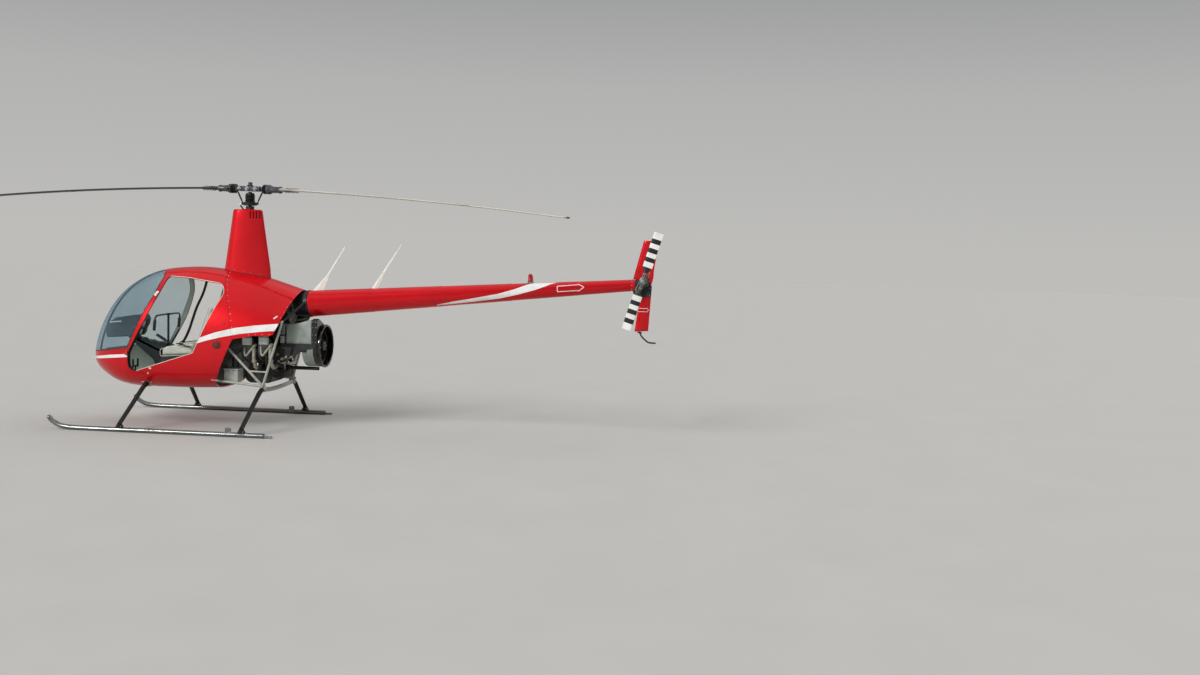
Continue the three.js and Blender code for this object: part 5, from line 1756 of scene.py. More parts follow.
def build_tail_rotor():
    hub = Shape()
    hub.rod((0, 112, 0), (0, -34, 0), 16, sides=20, chamfer=2)
    hub.lathe([(0, 30), (4, 42), (20, 42), (24, 32)], (0, 60, 0), STARBOARD, 32)
    hub.using(1)
    hub.block((-20, -15, -92), (20, -3, 92), 4, 2)
    hub.block((-20, 5, -92), (20, 15, 92), 4, 2)
    hub.using(0)
    hub.lathe([(0, 28), (10, 28), (16, 22), (28, 20), (32, 12), (32, 0)], (0, -14, 0), PORT, 28)
    for z in (-76, 76):
        hub.bolt((0, -15, z), PORT, 20, 9)
        hub.bolt((0, -15, z * 0.58), PORT, 15, 7)
    for turn in (1, -1):
        hub.rod((turn * 36, 66, 0), (turn * 40, 8, turn * 104), 5, sides=10)
        hub.ball((turn * 36, 66, 0), 9, 12)
        hub.ball((turn * 40, 8, turn * 104), 9, 12)
    hub.done("tail_rotor_head", [cast_aluminium(), black_satin()], "tail_rotor", "rotor_metal",
        ["tail_rotor_hub"], TAIL_HEAD)
    for name, side in (("upper", 1), ("lower", -1)):
        blade = Shape()
        rows = [(96, 0.48, 1.5), (112, 0.48, 1.5), (136, 0.74, 1.15)]
        rows += [(r, 1, 1) for r in BAND_RADII] + [(BAND_RADII[-1] + 0.4, 1, 0.5)]
        rings = []
        for r, wide, deep in rows:
            nose, back = (-51 * wide * side, 0, side * r), (51 * wide * side, 0, side * r)
            rings.append(wing_ring(nose, back, 12 * deep, STARBOARD, 11, 0.9))

        def paint(k, i):
            r = rows[k][0]
            if r < BAND_RADII[0]:
                return 2
            return BAND_RADII.index(min(r, BAND_RADII[-2])) % 2

        blade.loft(rings, paint=paint)
        blade.done(f"tail_rotor_blade_{name}", [white_enamel(), black_band(), black_satin()],
            "tail_rotor", "banded_paint", [f"tail_blade_{name}"], TAIL_HEAD, 50)


class HELI_OT_tail_rotor(Operator):
    """Tail rotor hub, pitch links and the two banded blades"""

    bl_idname = "helicopter.tail_rotor"
    bl_label = "Tail rotor"

    def execute(self, context):
        build_tail_rotor()
        return {"FINISHED"}


# Landing gear


SKID_Y, SKID_R = 950.0, 25.0
LEGS = (
    # name, x at the top, x at the foot, height at the top, radius at the top
    ("front", -967, -1029, 461, 30), ("rear", 338, 309, 445, 24),
)
LEG_TOP_Y = 470.0


def build_gear():
    front = Shape()
    front.rod((-967, -LEG_TOP_Y, 461), (-967, LEG_TOP_Y, 461), 27.6, sides=32)
    for side in (-1, 1):
        front.lathe([(0, 30), (3, 34), (40, 34), (43, 30)], (-967, side * 380, 461), (0, side, 0),
            28)
    front.done("front_cross_tube", [powder_coat()], slot="frame_paint",
        replaces=["cross_tube_front"])
    rear = Shape()
    rear.tube([(338, -LEG_TOP_Y, 445), (334, -400, 440), (328, -300, 432), (324, -150, 424),
        (324, 0, 421), (324, 150, 424), (328, 300, 432), (334, 400, 440), (338, LEG_TOP_Y, 445)],
        23, 24, 6)
    for side in (-1, 1):
        rear.block((300, side * 438 - 16, 420), (372, side * 438 + 16, 472), 6)
    rear.done("rear_cross_tube", [powder_coat()], slot="frame_paint", replaces=["cross_tube_rear"])
    for side_name, side in SIDES:
        for row in LEGS:
            build_leg(side_name, side, row)
        build_skid(side_name, side)


def build_leg(side_name, side, row):
    name, top_x, foot_x, top_z, radius = row
    foot = Vector((foot_x, side * SKID_Y, 84))
    bend = Vector((top_x, side * (LEG_TOP_Y + 34), top_z))
    path = [Vector((top_x, side * (LEG_TOP_Y + 0.5), top_z)),
        Vector((top_x, side * (LEG_TOP_Y + 14), top_z - 1)),
        Vector((top_x, side * (LEG_TOP_Y + 30), top_z - 9)), bend.lerp(foot, 0.06)
        + Vector((0, 0, -3))]
    path += [bend.lerp(foot, t) for t in (0.16, 0.4, 0.7, 1.0)]
    path = smooth(path, 5)
    rings = []
    for i, point in enumerate(path):
        ahead = (path[min(i + 1, len(path) - 1)] - path[max(i - 1, 0)]).normalized()
        across = Vector(AFT) - ahead * ahead.x
        across.normalize()
        up = ahead.cross(across)
        t = i / (len(path) - 1)
        blend = min(1, max(0, (t - 0.12) / 0.3))
        deep = radius * (1 - blend) + (30 - 5 * t) * blend
        thick = radius * (1 - blend) + (20 - 5 * t) * blend
        rings.append([point + across * deep * math.cos(a) + up * thick * math.sin(a)
            for a in turns(28)])
    leg = Shape()
    leg.loft(rings)
    leg.lathe([(0, 27), (4, 30), (20, 29), (26, 22)], foot + Vector((0, 0, -24)), UP, 24)
    saddle = rounded([(foot_x - 40, 40, 3), (foot_x + 40, 40, 3), (foot_x + 40, 60, 12),
        (foot_x + 22, 78, 10), (foot_x - 22, 78, 10), (foot_x - 40, 60, 12)], 6)
    leg.plate(saddle, side * SKID_Y - 17, side * SKID_Y + 17, 2)
    leg.done(f"gear_leg_fairing_{name}_{side_name}", [leg_enamel()], slot="leg_paint",
        replaces=[f"gear_leg_{name}_{side_name}"], sharp=38)
    heads = [((foot_x + x, side * (SKID_Y - y), 62), (0, -side * (1 if y > 0 else -1), 0))
        for x in (-26, 26) for y in (17, -17)]
    studs(f"gear_leg_bolts_{name}_{side_name}", heads, plated_steel(), 6.5, 9, 6, 0.9)


def build_skid(side_name, side):
    y = side * SKID_Y
    tube = Shape()
    path = [(-1813, y, 126), (-1790, y, 101), (-1760, y, 78), (-1690, y, 44), (-1595, y, 30),
        (-1500, y, 25.8), (-1400, y, 25.1), (-1000, y, 25), (-400, y, 25), (100, y, 25),
        (400, y, 25), (544, y, 25), (552, y, 25)]
    tube.tube(path, SKID_R, 24, 5)
    tube.ball((-1812, y, 125), 24.4, 20)
    tube.rod((540, y, 16), (644, y, 16), 12, 11, 16, 1.5)
    tube.lathe([(0, 25), (4, 24), (9, 18), (10, 12)], (551, y, 25), AFT, 24)
    inner = side * (SKID_Y - SKID_R - 8)
    tube.plate(rect(122, 12, 184, 90, (6, 6, 10, 10), 5), min(inner, y - side * 18),
        max(inner, y - side * 18), 1.5)
    tube.done(f"skid_tube_{side_name}", [worn_skid()], slot="skid_metal",
        replaces=[f"skid_{side_name}"])
    bits = Shape()
    bits.rod((153, inner - side * 3.2, 72), (153, inner + side * 10, 72), 9, sides=16, chamfer=1)
    for x in (-1320, -760, -200, 420):
        bits.block((x - 60, y - 9, 0.4), (x + 60, y + 9, 6), 2, 1)
    bits.done(f"skid_wear_shoes_{side_name}", [plated_steel()], slot="skid_metal")


class HELI_OT_gear(Operator):
    """Cross tubes, oval legs with their feet, and the two skid tubes"""

    bl_idname = "helicopter.gear"
    bl_label = "Landing gear"

    def execute(self, context):
        build_gear()
        return {"FINISHED"}


# Cabin inside


FLOOR_Z = 500.0
# Edges of the right-hand seat and the height of its box
SEAT = {"front": -818.0, "rear": -418.0, "top": 792.0, "in": 52.0, "out": 472.0}
PEDESTAL = [(-1090, 690, 30), (-1400, 940, 20), (-1330, 975, 20), (-1290, 925, 30),
    (-1155, 890, 30), (-987, 862, 30), (-925, 832, 20), (-880, 742, 20), (-822, 738, 10),
    (-822, 513, 0), (-1010, 513, 0)]
HOOD = [(-1600, 925, 20), (-1622, 1050, 60), (-1490, 1150, 80), (-1240, 1190, 40),
    (-1215, 1130, 14), (-1290, 945, 20)]
# The dial panel's face
PANEL_FOOT, PANEL_HEAD = Vector((-1290, 0, 945)), Vector((-1215, 0, 1130))
PANEL_OUT = Vector((185, 0, -75)).normalized()


def build_console():
    Shape().plate(rounded(HOOD, 12), -148, 148, 10).done("dial_hood", [console_grey()])
    trim = Shape()
    for _, side in SIDES:
        trim.sweep([(-1558, side * 149, 1094), (-1490, side * 149, 1104),
            (-1423, side * 149, 1110)], strip(6, -1, 1.6), up=(0, side, 0))
    trim.done("dial_hood_strips", [white_gelcoat()])
    console = Shape()
    console.block((-1470, -60, 950), (-1310, 60, 1010), 8)
    console.plate(rounded(PEDESTAL, 12), -74, 74, 8)
    for y in (-74, 74):
        console.plate(grown(rounded(PEDESTAL, 12), -22), y - 2.2, y + 2.2, 1.5)
    console.done("dial_console", [crackle_black()], slot="cabin_black",
        replaces=["instrument_console"])
    radio = Shape()
    for x0, z0, x1, z1 in ((-1272, 922, -1196, 903), (-1178, 898, -1078, 878),
            (-1064, 876, -1000, 866)):
        top = rounded([(x0, z0 - 4, 2), (x1, z1 - 4, 2), (x1, z1 + 9, 3), (x0, z0 + 9, 3)], 2)
        radio.plate(top, -58, 58, 1.5)
    radio.done("console_radio_faces", [black_satin()])
    knobs = Shape()
    for x, z in ((-1222, 918), (-1128, 897), (-1040, 880)):
        for y in (-44, -26, 26, 44):
            knobs.lathe([(0, 7), (9, 6), (11, 4), (11, 0)], (x, y, z), (0.2, 0, 1), 14)
    knobs.done("console_knobs", [trim_strip()])


def build_dials():
    rise = PANEL_HEAD - PANEL_FOOT
    bezel, glass, marks = Shape(), Shape(), Shape()
    for y in (-98, 0, 98):
        for share, radius in ((0.26, 36), (0.74, 40)):
            centre = PANEL_FOOT + rise * share + Vector((0, y, 0)) + PANEL_OUT * 0.5
            bezel.lathe([(0, radius + 4), (5, radius + 3), (7, radius), (7, radius - 4),
                (3, radius - 5)], centre, PANEL_OUT, 36)
            glass.lathe([(2, radius - 3), (5.2, radius - 3.5), (5.2, 0)], centre, PANEL_OUT, 36)
            up, side = rise.normalized(), Vector(STARBOARD)
            for k in range(12):
                turn = math.radians(-135 + 270 * k / 11)
                spoke = side * math.sin(turn) + up * math.cos(turn)
                start = centre + PANEL_OUT * 5.4
                marks.sweep([start + spoke * (radius - 11), start + spoke * (radius - 5)],
                    strip(0.9, 0, 0.5), up=PANEL_OUT)
            needle = side * math.sin(2.1 + y) + up * math.cos(2.1 + y)
            start = centre + PANEL_OUT * 5.6
            marks.sweep([start - needle * 6, start + needle * (radius - 12)],
                [(-1.3, 0), (1.3, 0), (0.6, 0.6), (-0.6, 0.6)], up=PANEL_OUT)
    bezel.done("dial_bezels", [black_satin()])
    glass.done("dial_glasses", [dial_face()])
    marks.done("dial_marks", [dial_marks()])


def build_stick():
    x, bar_z = -945, 1196
    post = Shape()
    post.rod((x, 0, 846), (x, 0, bar_z + 4), 13, 12, 20, 1)
    post.lathe([(0, 17), (3, 19), (22, 19), (25, 16)], (x, 0, bar_z - 12), UP, 20)
    for _, side in SIDES:
        post.tube([(x, -side * 12, bar_z), (x, side * 110, bar_z + 2), (x, side * 225, bar_z),
            (x - 3, side * 282, bar_z - 8), (x - 9, side * 301, bar_z - 36),
            (x - 16, side * 301, bar_z - 100), (x - 20, side * 300, bar_z - 160)], 9.5, 14)
    post.done("cyclic_post", [black_satin()], slot="boot_rubber", replaces=["cyclic_stick"])
    grips = Shape()
    for _, side in SIDES:
        top = Vector((x - 11, side * 301, bar_z - 52))
        foot = Vector((x - 20, side * 300, bar_z - 164))
        down = foot - top
        rows = [(0, 11), (3, 15)] + [(8 + 9 * i, 17.5 if i % 2 else 15.5)
            for i in range(11)] + [(108, 17), (113, 12)]
        grips.lathe(rows, top, down, 18)
    rows = [(0, 40)] + [(5 + 6 * i, 38 - 3.4 * i if i % 2 else 31 - 3.0 * i)
        for i in range(6)] + [(40, 14)]
    grips.lathe(rows, (x, 0, 833), UP, 24)
    lever = [(-600, -34, 644), (-606, -34, 690), (-640, -34, 720), (-760, -35, 792),
        (-900, -37, 872), (-1060, -38, 965)]
    grips.done("control_grips", [boot_rubber()])
    arm = Shape()
    arm.tube(lever, 9.5, 14)
    arm.rod((-962, -37.3, 908), (-1062, -38, 966), 16, sides=20, chamfer=2)
    arm.done("collective_arm", [black_satin()], slot="boot_rubber", replaces=["collective_lever"])


def build_pedals():
    for side_name, side in SIDES:
        pedal = Shape()
        middle = side * 210
        pedal.rod((-1440, middle, FLOOR_Z + 12.5), (-1440, middle, FLOOR_Z + 80), 9, sides=14)
        pedal.rod((-1440, middle - 72, FLOOR_Z + 80), (-1440, middle + 72, FLOOR_Z + 80), 7,
            sides=14)
        for y in (-75, 35):
            outline = rect(middle + y, 560, middle + y + 40, 660, (8, 8, 10, 10), 4)
            pedal.plate(outline, -1443.5, -1438, 1.5, lambda u, v, w: (w, u, v))
            for k in range(4):
                z = 578 + 21 * k
                pedal.rod((-1437.5, middle + y + 6, z), (-1437.5, middle + y + 34, z), 2.6,
                    sides=8)
        pedal.done(f"rudder_pedals_{side_name}", [black_satin()], slot="black_paint",
            replaces=[f"pedals_{side_name}"])


def build_seat_boxes():
    box = Shape()
    front, rear, top = SEAT["front"], SEAT["rear"], SEAT["top"]
    outline = rounded([(front + 20, 512.5, 4), (front, top - 31, 16), (rear + 40, top - 1, 10),
        (rear + 40, 512.5, 4)], 8)
    for _, side in SIDES:
        low, high = sorted((side * 48, side * 452))
        box.plate(outline, low, high, 6)
    box.block((front + 62, -89, 513), (rear + 39, 89, 639), 8)
    box.done("seat_boxes", [crackle_black()], slot="cabin_black", replaces=["seat_base"])


def build_belts():
    for side_name, side in SIDES:
        belt = Shape()
        shoulder = [(-371, side * 250, 1640), (-420, side * 250, 1470), (-494, side * 262, 1297),
            (-530, side * 290, 1160), (-556, side * 318, 1050), (-600, side * 350, 935),
            (-634, side * 372, 905)]
        belt.sweep(smooth(shoulder, 8), strip(23, -0.9, 0.9), up=(-0.95, side * -0.2, 0.2))
        lap = [(-452, side * 60, 912), (-520, side * 110, 924), (-590, side * 220, 917),
            (-640, side * 330, 910), (-640, side * 400, 905), (-560, side * 452, 900),
            (-470, side * 468, 880)]
        belt.sweep(smooth(lap, 8), strip(23, -0.9, 0.9), up=(0.05, 0, 1))
        belt.done(f"seat_belt_{side_name}", [webbing()])
        buckle = Shape()
        buckle.block((-664, side * 352 - 26, 906), (-604, side * 352 + 26, 922), 4)
        buckle.block((-652, side * 352 - 16, 921), (-620, side * 352 + 16, 925), 1.5)
        buckle.lathe([(0, 17), (5, 18), (9, 14), (10, 0)], (-371, side * 250, 1640), (-0.3, 0, -1),
            20)
        buckle.done(f"seat_belt_buckle_{side_name}", [plated_steel()])


class HELI_OT_cabin(Operator):
    """Console with its blank dials, pedestal, controls, seat boxes and belts"""

    bl_idname = "helicopter.cabin"
    bl_label = "Cabin inside"

    def execute(self, context):
        # The firewall and the main gearbox are dressed dark as painted shade: they sit in the
        # shaded engine bay and the gap before the tail cone
        for node, finish in (("cabin_floor", carpet), ("firewall", stained_steel_and_shade),
                ("seat_bulkhead", cabin_lining), ("main_gearbox", soot_and_shade_black)):
            dress(node, finish())
        build_console()
        build_dials()
        build_stick()
        build_pedals()
        build_seat_boxes()
        build_belts()
        return {"FINISHED"}


def dress(node, finish):
    """Give a frame node that stays in view its finish."""
    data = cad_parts[node].data
    data.materials.clear()
    data.materials.append(finish)


# Cushions


CUSHIONS = (
    # node, corners in side view (x, z, radius), sewn lines across it as shares from front or foot
    ("seat_cushion", [(-812, 768, 18), (-818, 850, 34), (-436, 906, 30), (-434, 796, 18)],
     (0.28, 0.5, 0.72)),
    ("seat_back", [(-394, 812, 16), (-404, 915, 30), (-262, 1312, 34), (-222, 1318, 26),
                   (-234, 1290, 12), (-362, 838, 14)], (0.3, 0.5, 0.7)),
)
VOXEL = 9.0  # of the remeshed cushion, mm
SWELL_STEPS = 20
SWELL_CAP = 14.0  # furthest that a point of a cushion may move as it fills, mm
CHANNEL = 7.0  # depth and half width of a sewn channel, mm
SEWN_INSET = 58.0  # from a cushion's sides to the channels along them, mm


def build_cushions():
    for node, corners, lines in CUSHIONS:
        data = swollen_pad(node, corners)
        sew_pad(data, corners, lines)
        for side_name, side in SIDES:
            place_pad(f"{node}_{side_name}", data, side)
            build_piping(f"{node}_{side_name}", corners, side)


def swollen_pad(node, corners):
    """The right-hand cushion's mesh: its block remeshed and filled like a pillow."""
    block = Shape()
    block.plate(rounded(corners, 10), SEAT["in"] + 10, SEAT["out"] - 10, 22)
    pad = linked(node + "_work", block.data(node))
    mesher = pad.modifiers.new("remesh", "REMESH")
    mesher.mode = "VOXEL"
    mesher.voxel_size = VOXEL * MM
    pad.data = applied(pad, keep=True)
    pad.modifiers.clear()
    fill_pad(pad)
    finer = pad.modifiers.new("subdivision", "SUBSURF")
    finer.levels = finer.render_levels = 1
    return applied(pad)


def fill_pad(pad):
    rest = np.empty(len(pad.data.vertices) * 3)
    pad.data.vertices.foreach_get("co", rest)
    cloth = pad.modifiers.new("cloth", "CLOTH")
    cloth.settings.use_pressure = True
    cloth.settings.uniform_pressure_force = 4.0
    cloth.settings.quality = 6
    cloth.settings.effector_weights.gravity = 0.0
    cloth.settings.tension_stiffness = cloth.settings.compression_stiffness = 18
    cloth.settings.bending_stiffness = 1.5
    scene = bpy.context.scene
    for step in range(1, SWELL_STEPS + 1):
        scene.frame_set(step)
    moved = applied(pad, keep=True)
    scene.frame_set(1)
    pad.modifiers.clear()
    swollen = np.empty_like(rest)
    moved.vertices.foreach_get("co", swollen)
    push = (swollen - rest).reshape(-1, 3)
    size = np.linalg.norm(push, axis=1, keepdims=True)
    push *= np.minimum(1, SWELL_CAP * MM / np.maximum(size, 1e-9))
    pad.data.vertices.foreach_set("co", rest + push.ravel())
    pad.data.update()


def sew_pad(data, corners, lines):
    """Press sewn channels into the upper face, along the seat's width and near its edges."""
    foot, head = Vector(corners[1][:2]), Vector(corners[2][:2])
    run = head - foot
    out = Vector((-run.y, run.x)).normalized()
    middle = (SEAT["in"] + SEAT["out"]) / 2
    half = (SEAT["out"] - SEAT["in"]) / 2 - SEWN_INSET
    for vertex in data.vertices:
        x, y, z = (vertex.co.x - MAST_X) / MM, vertex.co.y / MM, vertex.co.z / MM
        spot = Vector((x, z)) - foot
        along, above = spot.dot(run) / run.length_squared, spot.dot(out)
        if above < -16 or not 0.04 < along < 0.96:
            continue
        gaps = [abs(along - line) * run.length for line in lines if abs(y - middle) < half]
        gaps += [abs(abs(y - middle) - half)]
        depth = sum(CHANNEL * math.exp(-(gap / CHANNEL) ** 2) for gap in gaps)
        push = out * -depth * MM
        vertex.co += Vector((push.x, 0, push.y))


def place_pad(node, data, side):
    made = data.copy()
    if side < 0:
        mesh = bmesh.new()
        mesh.from_mesh(made)
        bmesh.ops.scale(mesh, vec=(1, -1, 1), verts=mesh.verts)
        bmesh.ops.reverse_faces(mesh, faces=mesh.faces)
        mesh.to_mesh(made)
        mesh.free()
    pad = settle(f"{node}_pad", made, [vinyl()], slot="cushion", replaces=[node], sharp=60)


def build_piping(node, corners, side):
    cord = Shape()
    for y in (SEAT["in"] + 7, SEAT["out"] - 7):
        loop = [(x, side * y, z) for x, z in rounded(corners, 14)]
        cord.sweep(loop, circle(3.6, 8), joined=True)
    cord.done(f"{node}_piping", [vinyl()])


class HELI_OT_cushions(Operator):
    """Two seat cushions and two seat backs, swollen by cloth simulation, then piped and sewn"""

    bl_idname = "helicopter.cushions"
    bl_label = "Cushions"

    def execute(self, context):
        build_cushions()
        return {"FINISHED"}


# Engine bay


FAN_Z = 904  # height of the crankshaft and the fan
VANES = 16
FAN_CENTRE = Vector((896, 0, FAN_Z))
ROCKER_LIFT = 68.0  # height of the rocker covers' middle above the bore
CYLINDERS = ((130, 890), (316, 900))  # x and height of each pair of cylinders
MUFFLER = Vector((405, 0, 592))
SHEAVES = (
    # name, height, front end of its shaft, radius, radius of the shaft
    ("lower", FAN_Z, 395, 90, 30),
    ("upper", 1290, 150, 155, 24),
)


def build_crankcase():
    case = Shape()
    case.block((52, -113, 802), (393, 113, 983), 16, 3)
    case.plate(rect(46, 796, 399, 990, (20, 20, 26, 26), 8), -7, 7, 2)
    case.block((60, -90, 692), (360, 90, 802), 18, 3)
    case.block((54, -96, 788), (366, 96, 800), 3)
    for x in (86, 150, 214, 278, 342):
        for side in (-1, 1):
            case.block((x - 4, side * 112 - 8, 812), (x + 4, side * 112 + 8, 972), 2, 1)
    case.lathe([(0, 70), (10, 72), (22, 60), (30, 40)], (392, 0, FAN_Z), AFT, 32)
    case.done("engine_case", [engine_enamel_and_shade()], slot="cast_alloy", replaces=["engine_crankcase"])
    heads = [((x, side * 7, z), (0, side, 0)) for x in range(66, 400, 54) for z in (984, 804)
        for side in (-1, 1)]
    heads += [((x, side * 96, 794), (0, side, 0)) for x in range(74, 360, 46) for side in (-1, 1)]
    studs("engine_case_bolts", heads, plated_steel(), 6, 7, 6, 0.9)


def build_cylinders(side_name, side):
    fins, heads = [], []
    barrel, cover = Shape(), Shape()
    for x, z in CYLINDERS:
        barrel.rod((x, side * 115.5, z), (x, side * 330, z), 56, sides=32)
        barrel.lathe([(0, 74), (8, 74), (12, 62)], (x, side * 115.5, z), (0, side, 0), 32)
        fins += [((x, side * (140 + 8.4 * k), z), (0, side, 0)) for k in range(22)]
        for k in range(5):
            y = side * (326 + 10 * k)
            outline = rect(x - 62, z - 60, x + 62, z + 102, 24, 8)
            barrel.plate(outline, min(y, y + side * 3), max(y, y + side * 3), 0.8)
        low, high = sorted((side * 322, side * 372))
        barrel.block((x - 52, low, z - 50), (x + 52, high, z + 92), 8)
        top = z + ROCKER_LIFT
        outline = rect(x - 56, top - 44, x + 56, top + 50, 20, 6)
        low, high = sorted((side * 372, side * 378))
        cover.plate(outline, low, high, 1)
        low, high = sorted((side * 378, side * 399))
        cover.plate(grown(outline, -7), low, high, 6)
        heads += [((x + dx, side * 378, top + 4 + dz), (0, side, 0)) for dx, dz in ((-51, -41),
            (0, -45), (51, -41), (-51, 39), (0, 43), (51, 39))]
        rows = [(0, 34), (5, 35), (9, 34), (12, 25), (26, 23)]
        barrel.lathe(rows, (x - 28, side * 352, z - 57), DOWN, 24)
        for dz in (-30, 34):
            barrel.rod((x - 50, side * 350, z + dz), (x - 72, side * 356, z + dz), 7, 5, 10)
    barrel.done(f"cylinder_barrels_{side_name}", [engine_enamel_and_shade()], slot="cast_alloy",
        replaces=[f"cylinders_{side_name}"])
    build_intake_pipes(side_name, side)
    cover.done(f"rocker_covers_{side_name}", [grey_cover_paint()])
    studs(f"cylinder_fins_{side_name}", fins, cast_aluminium(), 72, 2.2, 28, 0.98)
    studs(f"rocker_cover_screws_{side_name}", heads, plated_steel(), 5, 5, 6, 0.9)


def build_intake_pipes(side_name, side):
    """Light alloy risers from the sump, one behind each cylinder, with their flanged elbows."""
    pipes = Shape()
    for x, z in CYLINDERS:
        riser = x + 76
        pipes.tube([(riser - 2, side * 344, z + 26), (riser - 2, side * 364, z + 16),
            (riser - 1, side * 371, z - 14), (riser, side * 372, z - 70),
            (riser, side * 370, z - 124), (riser + 10, side * 346, z - 200),
            (riser + 2, side * 290, z - 232), (riser - 8, side * 200, z - 230),
            (x + 60, side * 84, 706)], 20, 16)
        pipes.tube([(riser + 20, side * 366, z + 34), (riser + 4, side * 386, z + 12),
            (x + 34, side * 388, z - 44), (x + 6, side * 386, z - 80),
            (x - 10, side * 383, z - 90), (x - 24, side * 378, z - 72),
            (x - 33, side * 366, z - 8), (x - 33, side * 352, z + 20)], 13, 14)
        for along in (0.0, 9.0):
            pipes.lathe([(along, 20), (along + 1, 29), (along + 7, 29), (along + 8, 20)],
                (riser + 2, side * 366, z - 140), (0.12, -side * 0.3, -1), 20)
        pipes.lathe([(0, 20), (1, 25), (12, 25), (13, 20)], (riser - 1, side * 371, z - 16), DOWN,
            20)
        pipes.using(1)
        pipes.tube([(x - 58, side * 352, z + 20), (x - 60, side * 352, z - 80),
            (x - 34, side * 300, z - 150), (x - 10, side * 110, z - 160)], 11, 12)
        pipes.using(0)
    pipes.done(f"intake_pipes_{side_name}", [bead_blasted(), engine_enamel_and_shade()])


def build_exhaust():
    pipes = Shape()
    for _, side in SIDES:
        for x, _ in CYLINDERS:
            x += 30
            pipes.tube([(x, side * 362, 842), (x, side * 362, 780), (x + 4, side * 352, 700),
                (x + 20, side * 310, 640), (MUFFLER.x - 20, side * 210, 604),
                (MUFFLER.x - 4, side * 140, 594)], 19, 16)
            pipes.lathe([(0, 25), (8, 25), (9, 19)], (x, side * 362, 838), DOWN, 20)
    rows = [(0, 30), (3, 50), (12, 58), (20, 60), (330, 60), (338, 58), (347, 50), (350, 30),
        (350, 0)]
    pipes.lathe([(0, 0)] + rows, MUFFLER + Vector((0, -175, 0)), STARBOARD, 40)
    for y in (-112, 112):
        pipes.lathe([(0, 61), (1, 62.5), (17, 62.5), (18, 61)], MUFFLER + Vector((0, y - 9, 0)),
            STARBOARD, 40)
    rows = [(0, 30), (40, 30), (80, 21), (401, 19), (401, 16.5), (300, 16.5), (300, 0)]
    pipes.lathe(rows, (MUFFLER.x, 0, 650), AFT, 24)
    pipes.done("exhaust_pipes", [hot_steel()], slot="black_paint", replaces=["exhaust"])


def build_drive():
    for name, z, shaft_x, wheel, shaft in SHEAVES:
        sheave = Shape()
        rows = [(0, shaft + 6), (6, wheel - 22), (6, wheel - 6)]
        for k in range(4):
            base = 8 + 15.5 * k
            rows += [(base, wheel), (base + 4, wheel - 0.5), (base + 8, wheel - 11),
                (base + 11, wheel - 11)]
        rows += [(71, wheel), (74, wheel - 1), (74, wheel - 22), (66, wheel - 26), (60, shaft + 8),
            (74, shaft + 4), (74, 0)]
        sheave.lathe(rows, (425.5, 0, z), AFT, 56)
        sheave.rod((shaft_x + 0.5, 0, z), (430, 0, z), shaft, sides=24)
        sheave.done(f"drive_sheave_{name}", [engine_enamel_and_shade()], slot="cast_alloy",
            replaces=[f"sheave_{name}"])
    (_, low_z, _, low_r, _), (_, high_z, _, high_r, _) = SHEAVES
    low_r, high_r = low_r - 5, high_r - 5
    lean = math.asin((high_r - low_r) / (high_z - low_z))
    belts = Shape()
    for k in range(4):
        x = 443.0 + 15.5 * k
        loop = [(x, low_r * math.cos(a), low_z + low_r * math.sin(a))
            for a in [math.pi - lean + (math.pi + 2 * lean) * i / 20 for i in range(21)]]
        loop += [(x, high_r * math.cos(a), high_z + high_r * math.sin(a))
            for a in [-lean + (math.pi + 2 * lean) * i / 28 for i in range(29)]]
        section = [(-5.2, -5), (5.2, -5), (7.2, 5), (-7.2, 5)]
        out = [(Vector(p) - (Vector((x, 0, low_z)) if i < 21 else Vector((x, 0, high_z))))
            for i, p in enumerate(loop)]
        belts.sweep(loop, section, up=out, joined=True)
    belts.done("drive_belts", [belt_rubber()])


def build_accessories():
    box = Shape()
    box.block((-132, -378, 507), (28, -222, 632), 12, 3)
    box.block((-134, -380, 634), (30, -220, 653), 5, 2)
    box.block((-70, -381, 612), (-34, -373, 646), 2)
    box.done("fuel_filter_case", [grey_cover_paint()], slot="duct_sheet",
        replaces=["fuel_filter_box"])
    bits = Shape()
    bits.lathe([(0, 30), (8, 42), (14, 44), (100, 44), (112, 38), (116, 18), (116, 0)],
        (48, 58, 936), (-0.2, 0, 1), 28)
    for y in (-48, 48):
        bits.lathe([(0, 30), (4, 36), (70, 36), (84, 30), (90, 10), (90, 0)], (46, y, 930),
            (-1, 0, 0.1), 28)
    bits.lathe([(0, 26), (6, 40), (80, 40), (92, 30), (92, 0)], (380, -150, 830), (-1, 0, 0), 28)
    under = rounded([(34, 628, 20), (36, 520, 60), (90, 486, 60), (300, 486, 40), (336, 520, 30),
        (336, 660, 16), (150, 660, 20), (120, 628, 20)], 8)
    bits.plate(under, -196, 196, 14)
    bits.lathe([(0, 50), (6, 54), (28, 54), (32, 44)], (230, 0, 656), UP, 32)
    bits.block((148, -112, 655), (332, 112, 696), 8)
    for x in (70, 120, 170, 220, 270, 310):
        bits.block((x - 5, -199, 530), (x + 5, 199, 612), 2, 1)
    bits.done("engine_accessories", [black_satin()])
    build_baffles()
    Shape().lathe([(0, 34), (6, 38), (104, 38), (114, 30), (116, 0)], (-20, -318, 668), UP,
        28).done("oil_canister", [black_satin()])
    pipes = Shape()
    pipes.tube([(-20, -318, 784), (-12, -300, 810), (20, -230, 850), (52, -120, 870)], 9, 12)
    pipes.tube([(6, -200, 690), (60, -190, 760), (72, -150, 840), (80, -116, 900)], 13, 12)
    pipes.tube([(430, -60, 640), (440, -90, 700), (420, -116, 770), (380, -116, 820)], 15, 12)
    pipes.done("engine_pipes", [trim_strip()])


